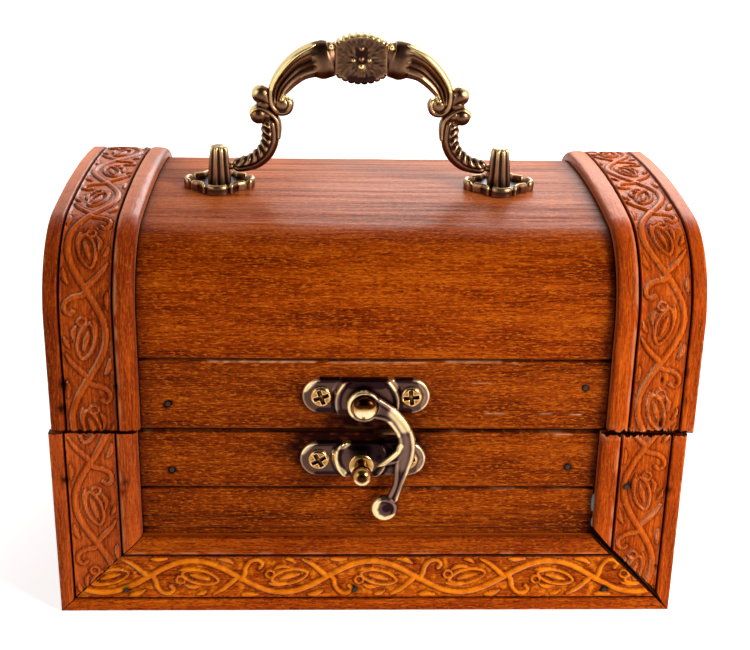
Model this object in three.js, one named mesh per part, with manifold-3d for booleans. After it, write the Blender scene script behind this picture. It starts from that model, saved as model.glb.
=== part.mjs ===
// A small wooden chest with a domed lid, carved bands, a bail handle and a swing-hook latch.
// Millimetres. +X is the box's right as seen from the front, +Y its back, +Z up.
// The origin is the centre of the base's underside.

import * as THREE from 'three';
import { mergeVertices } from 'three/addons/utils/BufferGeometryUtils.js';
import Module from 'manifold-3d';

const wasm = await Module();
wasm.setup();

// Driving dimensions: box
const depth = 90;
const lidWidth = 140;
const lidOverhang = 0.3;
const lidShift = 1;
const baseHeight = 45;
const seamGap = 0.5;
const wall = 4;
const sideInset = 0.6;
const bottomThickness = 3;
const upperPlankHeight = 14.4;
const plankGap = 0.3;

// Driving dimensions: domed lid
const springHeight = 24.8;
const cornerRadius = 19.6;
const cornerSweep = THREE.MathUtils.degToRad(84);
const panelThickness = 3;
const panelInset = 0.2;
const railHeight = 15.8;

// Driving dimensions: moulded bands
const bandWidth = 19;
const bandProud = 2.4;
const bandEdge = 0.5;
const outerGrooveAt = 3.3;
const innerGrooveAt = 14.4;
const grooveWidth = 0.7;
const grooveDepth = 0.7;
const innerBevelWidth = 1.4;
const innerBevelDrop = 0.8;
const mitreGapLeft = 0.15;
const mitreGapRight = 0.5;
const glueLine = 0.02;

// Driving dimensions: screws and brads
const latchScrew = { headRadius: 2.3, headHeight: 0.9, shankRadius: 0.9, length: 3.6 };
const hingeScrew = { headRadius: 1.4, headHeight: 0.6, shankRadius: 0.65, length: 3.1 };
const postScrew = { headRadius: 3, headHeight: 1.5, shankRadius: 1.2, seat: 0.2 };
const screwClearance = 0.3;
const slotWidth = 0.5;
const slotDepth = 0.4;
const bradRadius = 0.55;
const bradLength = 1.9;
const bradClearance = 0.25;

// Driving dimensions: where the brads are, from the box's sides and from the seam or the foot
const plankBradInset = { left: 26.1, right: 25.5 };
const plankBradDrop = { left: 10, right: 9.2 };
const railBradInset = { left: 25.1, right: 24.2 };
const railBradRise = { left: 5.5, right: 9.6 };
const cornerBradInset = { left: 14.9, right: 15.3 };
const rightBandBrad = { inset: 12.4, drop: 12.9 };
const footBrad = { x: -2.9, rise: 5.5 };

// Driving dimensions: latch. Places are measured from the lid's and the base's own centre and foot.
const plateThickness = 0.9;
const plateLobeRadius = 4.4;
const plateSpan = 19.5;
const bossRadius = 6;
const bossHeight = 1.2;
const latchX = -2;
const latchZ = 7.9;
const pivotOffset = { x: -0.4, z: -1.3 };
const catchX = -1.5;
const catchDrop = 6.8;
const studOffset = { x: -0.45, z: 0.5 };
const catchBossRadius = 5.2;
const rivetRadius = 1.2;
const rivetHeadRadius = 2.6;
const rivetHeadHeight = 1.5;
const runningGap = 0.3;
const hookThickness = 1.6;
const hookEyeRadius = 3.65;
const hookEyeClearance = 0.1;
const hookKnobRadius = 2.85;
const hookKnobDepth = 2.4;
const hookKnobRatio = { x: 0.33, z: -1.729 };
const barbClearance = 0.2;
const studNeckRadius = 0.7;
const studTailLength = 2;
const studFlangeRadius = 2.4;
const studFlangeThickness = 0.8;
const studStemRadius = 1.4;
const studStemLength = 2.4;
const studBallRadius = 2.3;

// Driving dimensions: handle. Heights are above the lid's top panel.
const handleX = -3.1;
const handleY = -3;
const postSpacing = 65.2;
const postFootRadius = 2.8;
const postTopRadius = 2.1;
const postHeight = 9.75;
const postFluteDepth = 0.35;
const postFlutes = 8;
const postBoreDepth = 2.6;
const postBoreStop = 0.3;
const pivotHeight = 4.85;
const bailPinRadius = 0.9;
const bailPinClearance = 0.1;
const bailEndGap = 0.35;
const bailDrawnSpan = 29.7;
const medallionRadius = 5.9;
const medallionHalfDepth = 2.5;
const rosetteReach = 8.3;
const rosetteWaist = 6.4;
const rosetteFloor = 0.9;
const rosetteRimHeight = 2.3;
const rosetteRimWidth = 1.3;

// Driving dimensions: hinges
const hingeFromBand = 4.7;
const hingeWidth = 16;
const hingeKnuckleWidth = 5;
const hingeKnuckleGap = 0.3;
const hingeLeafHeight = 9;
const hingeLeafThickness = 0.9;
const hingeKnuckleRadius = 1.6;
const hingePinRadius = 0.6;
const hingePinClearance = 0.1;
const hingeAxisInset = 0.15;
const hingeScrewSpacing = 9.6;

// Drawn circles are faceted in steps of this angle
const arcStep = Math.PI / 8;

// Derived places
const faceY = depth / 2 - bandProud;
const lidHalf = lidWidth / 2;
const baseHalf = lidHalf - lidOverhang;
const plankJointHeight = baseHeight - upperPlankHeight;
const catchZ = baseHeight - catchDrop;
const hingeFromCentre = baseHalf - bandWidth - hingeFromBand - hingeWidth / 2;
const lidFoot = baseHeight + seamGap;
const crownRadius = cornerRadius + (depth / 2 - cornerRadius) / Math.cos(cornerSweep);
const cornerCentre = depth / 2 - cornerRadius;
const crownCentre = springHeight - cornerCentre * Math.tan(cornerSweep);
const lidHeight = crownCentre + crownRadius;
const panelSurface = bandProud + panelInset;
const panelTop = lidHeight - panelSurface;
const postAtPivot = postFootRadius - 0.25;
const hingeAxisY = depth / 2 - hingeAxisInset;
const hingeReach = hingeAxisY - faceY;
const plateFront = plateThickness + bossHeight;
const hookBack = plateFront + runningGap;
const hookFront = hookBack + hookThickness;
const flangeBack = hookFront + 2 * runningGap;

const finish = {
  board: new THREE.MeshStandardMaterial({ color: 0x8a3612, roughness: 0.42, metalness: 0 }),
  moulding: new THREE.MeshStandardMaterial({ color: 0x9a4216, roughness: 0.4, metalness: 0 }),
  raw: new THREE.MeshStandardMaterial({ color: 0x6e2e12, roughness: 0.6, metalness: 0 }),
  bronze: new THREE.MeshStandardMaterial({ color: 0x5b4a26, roughness: 0.38, metalness: 1 }),
  brass: new THREE.MeshStandardMaterial({ color: 0xb08030, roughness: 0.35, metalness: 1 }),
  steel: new THREE.MeshStandardMaterial({ color: 0x3a302a, roughness: 0.5, metalness: 1 }),
};

// Solids and booleans

function toSolid(geometry) {
  const bare = geometry.clone();
  bare.deleteAttribute('normal');
  bare.deleteAttribute('uv');
  const merged = mergeVertices(bare, 1e-4);
  const index = merged.index.array;
  const corners = [];
  for (let i = 0; i < index.length; i += 3) {
    const [a, b, c] = [index[i], index[i + 1], index[i + 2]];
    if (a !== b && b !== c && c !== a) corners.push(a, b, c);
  }
  return new wasm.Manifold(new wasm.Mesh({
    numProp: 3,
    vertProperties: new Float32Array(merged.attributes.position.array),
    triVerts: new Uint32Array(corners),
  }));
}

function toGeometry(solid) {
  const mesh = solid.getMesh();
  const geometry = new THREE.BufferGeometry();
  geometry.setAttribute('position', new THREE.BufferAttribute(mesh.vertProperties, 3));
  geometry.setIndex(new THREE.BufferAttribute(mesh.triVerts, 1));
  geometry.computeVertexNormals();
  return geometry;
}

function cut(geometry, ...tools) {
  const result = tools.reduce((solid, tool) => solid.subtract(toSolid(tool)), toSolid(geometry));
  return toGeometry(result);
}

function join(geometry, ...others) {
  const result = others.reduce((solid, other) => solid.add(toSolid(other)), toSolid(geometry));
  return toGeometry(result);
}

function block(x, y, z) {
  const geometry = new THREE.BoxGeometry(1, 1, 1);
  const position = geometry.attributes.position;
  const pick = (range, value) => (value > 0 ? range[1] : range[0]);
  for (let i = 0; i < position.count; i += 1) {
    position.setXYZ(i, pick(x, position.getX(i)), pick(y, position.getY(i)), pick(z, position.getZ(i)));
  }
  return geometry;
}

function divisionsOf(curve) {
  if (curve.isSplineCurve) return curve.points.length * 2;
  if (curve.isEllipseCurve) return Math.ceil(Math.abs(curve.aEndAngle - curve.aStartAngle) / arcStep);
  return 1;
}

// The points of a curved outline, without the doubled ones where two curves meet
function pointsOf(path, clockwise) {
  const all = path.curves.flatMap((curve) => curve.getPoints(divisionsOf(curve)));
  const points = all.filter((p, i) => p.distanceTo(all[(i + all.length - 1) % all.length]) > 1e-3);
  return THREE.ShapeUtils.isClockWise(points) === clockwise ? points : points.reverse();
}

function straightened(shape) {
  const plain = new THREE.Shape(pointsOf(shape, false));
  plain.holes = shape.holes.map((hole) => new THREE.Path(pointsOf(hole, true)));
  return plain;
}

function extrude(shape, from, to, place) {
  const plain = straightened(shape);
  const geometry = new THREE.ExtrudeGeometry(plain, { depth: 1, bevelEnabled: false });
  const position = geometry.attributes.position;
  for (let i = 0; i < position.count; i += 1) {
    const along = position.getZ(i) > 0.5 ? to : from;
    position.setXYZ(i, ...place(position.getX(i), position.getY(i), along));
  }
  return geometry;
}

// An outline in (y, z), extruded along X
function alongX(shape, from, to) {
  return extrude(shape, from, to, (u, v, w) => [w, u, v]);
}

// An outline in (x, y), extruded along Z
function alongZ(shape, from, to) {
  return extrude(shape, from, to, (u, v, w) => [u, v, w]);
}

function polygon(points) {
  return new THREE.Shape(points.map(([u, v]) => new THREE.Vector2(u, v)));
}

function rodX(radius, from, to, y, z, sides = 16) {
  const rod = new THREE.CylinderGeometry(radius, radius, to - from, sides);
  return rod.rotateZ(Math.PI / 2).translate((from + to) / 2, y, z);
}

function rodY(radius, from, to, x, z, sides = 16) {
  const rod = new THREE.CylinderGeometry(radius, radius, to - from, sides);
  return rod.translate(x, (from + to) / 2, z);
}

function rodZ(radius, from, to, x, y, sides = 16) {
  const rod = new THREE.CylinderGeometry(radius, radius, to - from, sides);
  return rod.rotateX(Math.PI / 2).translate(x, y, (from + to) / 2);
}

// A turned piece about +Z from [radius, height] pairs that start and end on the axis
function turned(profile, sides = 16) {
  const points = profile.map(([radius, height]) => new THREE.Vector2(radius, height));
  return new THREE.LatheGeometry(points, sides).rotateX(Math.PI / 2);
}

// A closed skin over rings of equal length; outline gives the flat shape that closes both ends
function loft(rings, outline) {
  const count = rings[0].length;
  const corners = [];
  for (let k = 0; k + 1 < rings.length; k += 1) {
    for (let i = 0; i < count; i += 1) {
      const j = (i + 1) % count;
      corners.push(k * count + i, k * count + j, (k + 1) * count + j);
      corners.push(k * count + i, (k + 1) * count + j, (k + 1) * count + i);
    }
  }
  const last = (rings.length - 1) * count;
  const clockwise = THREE.ShapeUtils.isClockWise(outline);
  for (const face of THREE.ShapeUtils.triangulateShape(outline, [])) {
    const [a, b, c] = clockwise ? face.reverse() : face;
    corners.push(c, b, a, last + a, last + b, last + c);
  }
  const points = rings.flat();
  if (signedVolume(points, corners) < 0) corners.reverse();
  const geometry = new THREE.BufferGeometry().setFromPoints(points);
  geometry.setIndex(corners);
  geometry.computeVertexNormals();
  return geometry;
}

function signedVolume(points, corners) {
  let volume = 0;
  for (let i = 0; i < corners.length; i += 3) {
    const [a, b, c] = [points[corners[i]], points[corners[i + 1]], points[corners[i + 2]]];
    volume += a.dot(b.clone().cross(c)) / 6;
  }
  return volume;
}

function piece(parent, name, geometry, material, place = [0, 0, 0]) {
  const mesh = new THREE.Mesh(geometry, material);
  mesh.name = name;
  mesh.position.set(...place);
  parent.add(mesh);
}

// Group whose local +Z points out of the front or back face, with local +Y up or down
function faceGroup(parent, x, y, z, turn) {
  const group = new THREE.Group();
  group.position.set(x, y, z);
  group.rotation.x = turn;
  parent.add(group);
  return group;
}

const outFront = Math.PI / 2;
const outBack = -Math.PI / 2;

// The lid's arched section, from the front foot over the crown to the back foot.
// Each sample holds a point of the bands' outer surface and the outward direction there.
function archSamples(foot) {
  const samples = [{ y: -depth / 2, z: foot, ny: -1, nz: 0 }];
  const cornerSteps = 8;
  const crownSteps = 6;
  for (let i = 0; i <= cornerSteps; i += 1) {
    const angle = (cornerSweep * i) / cornerSteps;
    const [ny, nz] = [-Math.cos(angle), Math.sin(angle)];
    samples.push({ y: -cornerCentre + cornerRadius * ny, z: springHeight + cornerRadius * nz, ny, nz });
  }
  for (let i = 1; i <= crownSteps / 2; i += 1) {
    const angle = cornerSweep + ((Math.PI / 2 - cornerSweep) * i) / (crownSteps / 2);
    const [ny, nz] = [-Math.cos(angle), Math.sin(angle)];
    samples.push({ y: crownRadius * ny, z: crownCentre + crownRadius * nz, ny, nz });
  }
  const mirrored = samples.slice(0, -1).reverse();
  return samples.concat(mirrored.map((s) => ({ y: -s.y, z: s.z, ny: -s.ny, nz: s.nz })));
}

function archOutline(inset, foot) {
  return archSamples(foot).map((s) => [s.y - s.ny * inset, s.z - s.nz * inset]);
}

// The moulding's section: across from its outer edge, and height above the boards
function bandSection() {
  const half = grooveWidth / 2;
  return [
    [0, 0],
    [0, bandProud - bandEdge],
    [bandEdge, bandProud],
    [outerGrooveAt - half, bandProud],
    [outerGrooveAt, bandProud - grooveDepth],
    [outerGrooveAt + half, bandProud],
    [innerGrooveAt - half, bandProud],
    [innerGrooveAt, bandProud - grooveDepth],
    [innerGrooveAt + half, bandProud],
    [bandWidth - innerBevelWidth, bandProud],
    [bandWidth, bandProud - innerBevelDrop],
    [bandWidth, 0],
  ];
}

function bandLoft(place) {
  const section = bandSection();
  const outline = section.map(([u, v]) => new THREE.Vector2(u, v));
  return loft(place.map((at) => section.map(([u, v]) => new THREE.Vector3(...at(u, v)))), outline);
}

function lidBand(side) {
  const rings = archSamples(0).map((s) => (u, v) => {
    const inset = v > 0 ? bandProud - v : bandProud - glueLine;
    return [side * (lidHalf - u), s.y - s.ny * inset, s.z - s.nz * inset];
  });
  return bandLoft(rings);
}

function frontSideBand(side, mitreGap) {
  const at = (height) => (u, v) => [side * (baseHalf - u), -faceY - v, height(u)];
  return bandLoft([at((u) => u + mitreGap), at(() => baseHeight)]);
}

function frontBottomBand() {
  const at = (side) => (u, v) => [side * (baseHalf - u), -faceY - v, u];
  return bandLoft([at(-1), at(1)]);
}

function backSideBand(side) {
  const at = (height) => (u, v) => [side * (baseHalf - u), faceY + v, height];
  return bandLoft([at(0), at(baseHeight)]);
}

// Screws, brads and the holes they sit in

function screw({ headRadius, headHeight, shankRadius, length }, sides = 12) {
  const body = turned([
    [0, -length],
    [shankRadius, -length + shankRadius],
    [shankRadius, 0],
    [headRadius, 0],
    [headRadius, headHeight * 0.5],
    [headRadius * 0.6, headHeight],
    [0, headHeight],
  ], sides);
  const reach = headRadius * 0.65;
  const slot = [headHeight - slotDepth, headHeight + slotDepth];
  const half = slotWidth / 2;
  return cut(body, block([-reach, reach], [-half, half], slot), block([-half, half], [-reach, reach], slot));
}

function screwHole(spec, x, z, face, inward) {
  const end = face + inward * (spec.length + screwClearance);
  const start = face - inward * spec.headHeight;
  return rodY(spec.shankRadius + screwClearance, Math.min(start, end), Math.max(start, end), x, z, 8);
}

function bradHole(x, z, face) {
  return rodY(bradRadius + bradClearance, face - bradLength, face + bradLength, x, z, 8);
}

function brad() {
  return rodZ(bradRadius, -bradLength, 0, 0, 0, 8);
}

function addBrads(parent, prefix, places, face) {
  places.forEach(({ x, z }, i) => {
    const group = faceGroup(parent, x, -face, z, outFront);
    piece(group, `${prefix}_${i + 1}`, brad(), finish.steel);
  });
}

const plankBrads = [
  { x: plankBradInset.left - baseHalf, z: baseHeight - plankBradDrop.left },
  { x: baseHalf - plankBradInset.right, z: baseHeight - plankBradDrop.right },
];
const railBrads = [
  { x: railBradInset.left - lidHalf, z: railBradRise.left },
  { x: lidHalf - railBradInset.right, z: railBradRise.right },
];
const bottomBandBrads = [
  { x: cornerBradInset.left - baseHalf, z: footBrad.rise },
  { x: footBrad.x, z: footBrad.rise },
  { x: baseHalf - cornerBradInset.right, z: footBrad.rise },
];
const rightBandBrads = [{ x: baseHalf - rightBandBrad.inset, z: baseHeight - rightBandBrad.drop }];

// Base

function latchScrewPlaces(centreX, centreZ) {
  return [-1, 1].map((side) => ({ x: centreX + (side * plateSpan) / 2, z: centreZ }));
}

function hingeScrewPlaces(centreX, z) {
  return [-1, 1].map((side) => ({ x: centreX + (side * hingeScrewSpacing) / 2, z }));
}

const hingeScrewDrop = hingeLeafHeight * 0.62;
const hingeCentres = [-hingeFromCentre, hingeFromCentre];

function addBaseBoards(base) {
  const outer = baseHalf - sideInset;
  const inner = outer - wall;
  const insideY = faceY - wall;
  const lowerTop = plankJointHeight - plankGap / 2;
  const upperFoot = plankJointHeight + plankGap / 2;
  const studX = catchX + studOffset.x;
  const studZ = catchZ + studOffset.z;
  const plateFace = -faceY - plateThickness;
  const catchHoles = latchScrewPlaces(catchX, catchZ)
    .map(({ x, z }) => screwHole(latchScrew, x, z, plateFace, 1));
  const leafFace = faceY + hingeLeafThickness;
  const hingeZ = baseHeight + seamGap / 2 - hingeScrewDrop;
  const hingeHoles = hingeCentres.flatMap((centre) => hingeScrewPlaces(centre, hingeZ))
    .map(({ x, z }) => screwHole(hingeScrew, x, z, leafFace, -1));
  const plankHoles = plankBrads.map(({ x, z }) => bradHole(x, z, -faceY));
  const studTail = studTailLength + screwClearance;
  const studHole = rodY(studNeckRadius + screwClearance, -faceY - wall, studTail - faceY, studX, studZ, 12);
  const upper = cut(block([-inner, inner], [-faceY, -insideY], [upperFoot, baseHeight]),
    ...catchHoles, ...plankHoles, studHole);
  piece(base, 'base_front_upper_plank', upper, finish.board);
  const lower = block([-inner, inner], [-faceY, -insideY], [0, lowerTop]);
  piece(base, 'base_front_lower_plank', lower, finish.board);
  const back = cut(block([-inner, inner], [insideY, faceY], [0, baseHeight]), ...hingeHoles);
  piece(base, 'base_back_board', back, finish.board);
  piece(base, 'base_left_board', block([-outer, -inner], [-faceY, faceY], [0, baseHeight]), finish.board);
  piece(base, 'base_right_board', block([inner, outer], [-faceY, faceY], [0, baseHeight]), finish.board);
  const bottom = block([-inner, inner], [-insideY, insideY], [0, bottomThickness]);
  piece(base, 'base_bottom_board', bottom, finish.raw);
}

function addBaseBands(base) {
  const bandFace = -depth / 2;
  const drilled = (band, brads) => cut(band, ...brads.map(({ x, z }) => bradHole(x, z, bandFace)));
  const left = frontSideBand(-1, mitreGapLeft);
  const right = drilled(frontSideBand(1, mitreGapRight), rightBandBrads);
  const bottom = drilled(frontBottomBand(), bottomBandBrads);
  piece(base, 'base_front_left_band', left, finish.moulding);
  piece(base, 'base_front_right_band', right, finish.moulding);
  piece(base, 'base_front_bottom_band', bottom, finish.moulding);
  piece(base, 'base_back_left_band', backSideBand(-1), finish.moulding);
  piece(base, 'base_back_right_band', backSideBand(1), finish.moulding);
  addBrads(base, 'base_band_brad', [...bottomBandBrads, ...rightBandBrads], depth / 2);
  addBrads(base, 'base_plank_brad', plankBrads, faceY);
}

// Latch

function plateShape(holes) {
  const reach = plateSpan / 2 - (plateLobeRadius - latchScrew.headRadius) * 0.2;
  const shape = new THREE.Shape();
  shape.absarc(reach, 0, plateLobeRadius, -Math.PI / 2, Math.PI / 2, false);
  shape.absarc(-reach, 0, plateLobeRadius, Math.PI / 2, (3 * Math.PI) / 2, false);
  holes.forEach(({ x, y, radius }) => {
    const hole = new THREE.Path();
    hole.absarc(x, y, radius, 0, 2 * Math.PI, true);
    shape.holes.push(hole);
  });
  return shape;
}

function bossShape({ x, z }, radius, holeRadius) {
  const drop = Math.min(radius * 0.9, plateLobeRadius + z);
  const angle = Math.asin(drop / radius);
  const shape = new THREE.Shape();
  shape.absarc(x, z, radius, -angle, Math.PI + angle, false);
  const hole = new THREE.Path();
  hole.absarc(x, z, holeRadius, 0, 2 * Math.PI, true);
  shape.holes.push(hole);
  return shape;
}

function latchPlate(centre, radius, shaftRadius) {
  const shaftHole = { x: centre.x, y: centre.z, radius: shaftRadius };
  const screwRadius = latchScrew.shankRadius + screwClearance;
  const screwHoles = [-1, 1].map((side) => ({ x: (side * plateSpan) / 2, y: 0, radius: screwRadius }));
  const plate = alongZ(plateShape([shaftHole, ...screwHoles]), 0, plateThickness);
  const boss = alongZ(bossShape(centre, radius, shaftRadius), plateThickness / 2, plateFront);
  return join(plate, boss);
}

function rivet() {
  const under = hookFront + runningGap;
  return turned([
    [0, 0],
    [rivetRadius, 0],
    [rivetRadius, under],
    [rivetHeadRadius, under],
    [rivetHeadRadius * 0.92, under + rivetHeadHeight * 0.5],
    [rivetHeadRadius * 0.55, under + rivetHeadHeight * 0.9],
    [0, under + rivetHeadHeight],
  ]);
}

function stud() {
  const flangeFront = flangeBack + studFlangeThickness;
  const ballCentre = flangeFront + studStemLength + studBallRadius * 0.8;
  const ball = [];
  for (let i = 1; i <= 6; i += 1) {
    const angle = -Math.PI / 3.4 + ((Math.PI / 2 + Math.PI / 3.4) * i) / 6;
    const radius = i < 6 ? studBallRadius * Math.cos(angle) : 0;
    ball.push([radius, ballCentre + studBallRadius * Math.sin(angle)]);
  }
  return turned([
    [0, -studTailLength],
    [studNeckRadius, -studTailLength],
    [studNeckRadius, flangeBack],
    [studFlangeRadius, flangeBack],
    [studFlangeRadius, flangeFront],
    [studStemRadius, flangeFront],
    [studStemRadius, flangeFront + studStemLength],
    ...ball,
  ]);
}

// Where the stud stands, seen from the hook's pivot
function studFromPivot() {
  const pivotWorldX = lidShift + latchX + pivotOffset.x;
  const pivotWorldZ = lidFoot + latchZ + pivotOffset.z;
  return { x: catchX + studOffset.x - pivotWorldX, z: catchZ + studOffset.z - pivotWorldZ };
}

// The inner edge of the hook's barb passes under the stud's neck as the hook swings
function barbInnerRadius() {
  const toStud = studFromPivot();
  return Math.hypot(toStud.x, toStud.z) + studNeckRadius + barbClearance;
}

// The hook's outline about its pivot, hanging with its barb beside the stud.
// Its points, and the knob's place, are shares of the barb's inner radius.
function hookShape() {
  const reach = barbInnerRadius();
  const radians = (degrees) => THREE.MathUtils.degToRad(degrees);
  const [tipAngle, rootAngle] = [radians(-80.8), radians(-74.3)];
  const at = (pairs) => pairs.map(([x, y]) => new THREE.Vector2(x * reach, y * reach));
  const shape = new THREE.Shape();
  shape.absarc(0, 0, hookEyeRadius, radians(-50), radians(-290), true);
  shape.splineThru(at([
    [0.194, 0.215], [0.34, 0.118], [0.5, -0.049], [0.667, -0.278], [0.778, -0.604], [0.771, -0.917],
    [0.681, -1.194], [0.604, -1.382], [0.535, -1.611],
  ]));
  const [knobX, knobZ] = [hookKnobRatio.x * reach, hookKnobRatio.z * reach];
  shape.absarc(knobX, knobZ, hookKnobRadius, radians(20), radians(-250), true);
  shape.splineThru(at([
    [0.389, -1.438], [0.479, -1.292], [0.514, -1.153], [0.465, -1.069], [0.361, -1.042], [0.264, -1.038],
    [Math.cos(tipAngle), Math.sin(tipAngle)],
  ]));
  shape.absarc(0, 0, reach, tipAngle, rootAngle, false);
  shape.splineThru(at([
    [0.292, -0.847], [0.368, -0.764], [0.465, -0.646], [0.493, -0.479], [0.431, -0.285], [0.319, -0.201],
  ]));
  const eye = new THREE.Path();
  eye.absarc(0, 0, rivetRadius + hookEyeClearance, 0, 2 * Math.PI, true);
  shape.holes.push(eye);
  return shape;
}

function hook() {
  const plate = alongZ(hookShape(), hookBack, hookFront);
  const knob = new THREE.SphereGeometry(hookKnobRadius, 12, 8);
  knob.rotateX(Math.PI / 2);
  knob.scale(1, 1, hookKnobDepth / (2 * hookKnobRadius));
  const reach = barbInnerRadius();
  knob.translate(hookKnobRatio.x * reach, hookKnobRatio.z * reach, (hookBack + hookFront) / 2);
  return join(plate, knob);
}

function addCatch(base) {
  const group = faceGroup(base, catchX, -faceY, catchZ, outFront);
  const holeRadius = studNeckRadius + screwClearance;
  piece(group, 'catch_plate', latchPlate(studOffset, catchBossRadius, holeRadius), finish.bronze);
  piece(group, 'catch_stud', stud(), finish.brass, [studOffset.x, studOffset.z, 0]);
  piece(group, 'catch_screw_left', screw(latchScrew), finish.brass, [-plateSpan / 2, 0, plateThickness]);
  piece(group, 'catch_screw_right', screw(latchScrew), finish.brass, [plateSpan / 2, 0, plateThickness]);
}

function addLatch(lid, hookBody) {
  const group = faceGroup(lid, latchX, -faceY, latchZ, outFront);
  const holeRadius = rivetRadius + screwClearance;
  piece(group, 'latch_plate', latchPlate(pivotOffset, bossRadius, holeRadius), finish.bronze);
  piece(group, 'latch_rivet', rivet(), finish.brass, [pivotOffset.x, pivotOffset.z, 0]);
  piece(group, 'latch_screw_left', screw(latchScrew), finish.brass, [-plateSpan / 2, 0, plateThickness]);
  piece(group, 'latch_screw_right', screw(latchScrew), finish.brass, [plateSpan / 2, 0, plateThickness]);
  const swing = faceGroup(hookBody, latchX + pivotOffset.x, -faceY, latchZ + pivotOffset.z, outFront);
  piece(swing, 'latch_hook', hook(), finish.bronze);
}

// Hinges, drawn about the pin's axis; up is 1 for the lid's leaf and -1 for the base's

function hingeLeaf(up, knuckles) {
  const near = seamGap / 2;
  const past = hingeKnuckleRadius + hingeKnuckleGap;
  const face = -hingeReach;
  const front = face + hingeLeafThickness;
  const span = (a, b) => (up > 0 ? [a, b] : [-b, -a]);
  const plate = block([-hingeWidth / 2, hingeWidth / 2], [face, front], span(past, hingeLeafHeight));
  const webTop = past + hingeKnuckleGap;
  const web = [[face, near], [0, near], [0, hingeKnuckleRadius * 0.95], [front, webTop], [face, webTop]];
  const webShape = polygon(web.map(([y, z]) => [y, up * z]));
  const joined = knuckles.flatMap(([from, to]) => [
    alongX(webShape, from, to),
    rodX(hingeKnuckleRadius, from, to, 0, 0),
  ]);
  const bore = rodX(hingePinRadius + hingePinClearance, -hingeWidth, hingeWidth, 0, 0, 12);
  const holes = hingeScrewPlaces(0, up * hingeScrewDrop)
    .map(({ x, z }) => rodY(hingeScrew.shankRadius + screwClearance, face - 1, front + 1, x, z, 12));
  return cut(join(plate, ...joined), bore, ...holes);
}

function addHinges(base, lid) {
  const half = hingeKnuckleWidth / 2;
  const outerKnuckles = [
    [-hingeWidth / 2, -half - hingeKnuckleGap],
    [half + hingeKnuckleGap, hingeWidth / 2],
  ];
  const axisOnBase = baseHeight + seamGap / 2;
  const leafFace = faceY + hingeLeafThickness;
  ['right', 'left'].forEach((side, i) => {
    const centre = hingeCentres[1 - i];
    const lidCentre = centre - lidShift;
    const pin = rodX(hingePinRadius, -hingeWidth / 2, hingeWidth / 2, 0, 0, 12);
    const baseAt = [centre, hingeAxisY, axisOnBase];
    piece(base, `hinge_${side}_base_leaf`, hingeLeaf(-1, outerKnuckles), finish.bronze, baseAt);
    piece(base, `hinge_${side}_pin`, pin, finish.steel, baseAt);
    piece(lid, `hinge_${side}_lid_leaf`, hingeLeaf(1, [[-half, half]]), finish.bronze,
      [lidCentre, hingeAxisY, -seamGap / 2]);
    hingeScrewPlaces(centre, axisOnBase - hingeScrewDrop).forEach(({ x, z }, k) => {
      const group = faceGroup(base, x, leafFace, z, outBack);
      piece(group, `hinge_${side}_base_screw_${k + 1}`, screw(hingeScrew, 8), finish.brass);
    });
    hingeScrewPlaces(lidCentre, hingeScrewDrop - seamGap / 2).forEach(({ x, z }, k) => {
      const group = faceGroup(lid, x, leafFace, z, outBack);
      piece(group, `hinge_${side}_lid_screw_${k + 1}`, screw(hingeScrew, 8), finish.brass);
    });
  });
}

// Lid

function handlePostPlaces() {
  return [-1, 1].map((side) => handleX + (side * postSpacing) / 2);
}

function addLidBoards(lid) {
  const outer = lidHalf - sideInset;
  const inner = outer - wall;
  const end = polygon(archOutline(bandProud, 0));
  piece(lid, 'lid_left_end', alongX(end, -outer, -inner), finish.board);
  piece(lid, 'lid_right_end', alongX(end, inner, outer), finish.board);
  const plateFace = -faceY - plateThickness;
  const latchHoles = latchScrewPlaces(latchX, latchZ)
    .map(({ x, z }) => screwHole(latchScrew, x, z, plateFace, 1));
  const railHoles = railBrads.map(({ x, z }) => bradHole(x, z, -faceY));
  const rail = block([-inner, inner], [-faceY, wall - faceY], [0, railHeight]);
  const frontRail = cut(rail, ...latchHoles, ...railHoles);
  piece(lid, 'lid_front_rail', frontRail, finish.board);
  const hingeHoles = hingeCentres
    .flatMap((centre) => hingeScrewPlaces(centre - lidShift, hingeScrewDrop - seamGap / 2))
    .map(({ x, z }) => screwHole(hingeScrew, x, z, faceY + hingeLeafThickness, -1));
  const backRail = cut(block([-inner, inner], [faceY - wall, faceY], [0, railHeight]), ...hingeHoles);
  piece(lid, 'lid_back_rail', backRail, finish.board);
  const foot = railHeight + plankGap;
  const underside = archOutline(panelSurface + panelThickness, foot).reverse();
  const skin = archOutline(panelSurface, foot).concat(underside);
  const screwHoles = handlePostPlaces()
    .map((x) => rodZ(postScrew.shankRadius + screwClearance, 0, lidHeight, x, handleY, 12));
  piece(lid, 'lid_top_panel', cut(alongX(polygon(skin), -inner, inner), ...screwHoles), finish.board);
}

function addLidBands(lid) {
  piece(lid, 'lid_left_band', lidBand(-1), finish.moulding);
  piece(lid, 'lid_right_band', lidBand(1), finish.moulding);
  addBrads(lid, 'lid_rail_brad', railBrads, faceY);
}

// Handle

function rosetteOutline(inset) {
  const steps = 32;
  const points = [];
  for (let i = 0; i < steps; i += 1) {
    const angle = (2 * Math.PI * i) / steps;
    const swell = Math.abs(Math.cos(2 * angle)) ** 1.5;
    const radius = rosetteWaist + (rosetteReach - rosetteWaist) * swell - inset;
    points.push([radius * Math.cos(angle), radius * Math.sin(angle)]);
  }
  return polygon(points);
}

function rosette() {
  const body = alongZ(rosetteOutline(0), 0, rosetteRimHeight);
  const well = alongZ(rosetteOutline(rosetteRimWidth), rosetteFloor, rosetteRimHeight + rosetteFloor);
  const hole = rodZ(postScrew.shankRadius + screwClearance, -1, rosetteFloor + 1, 0, 0, 12);
  return cut(body, well, hole);
}

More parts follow.
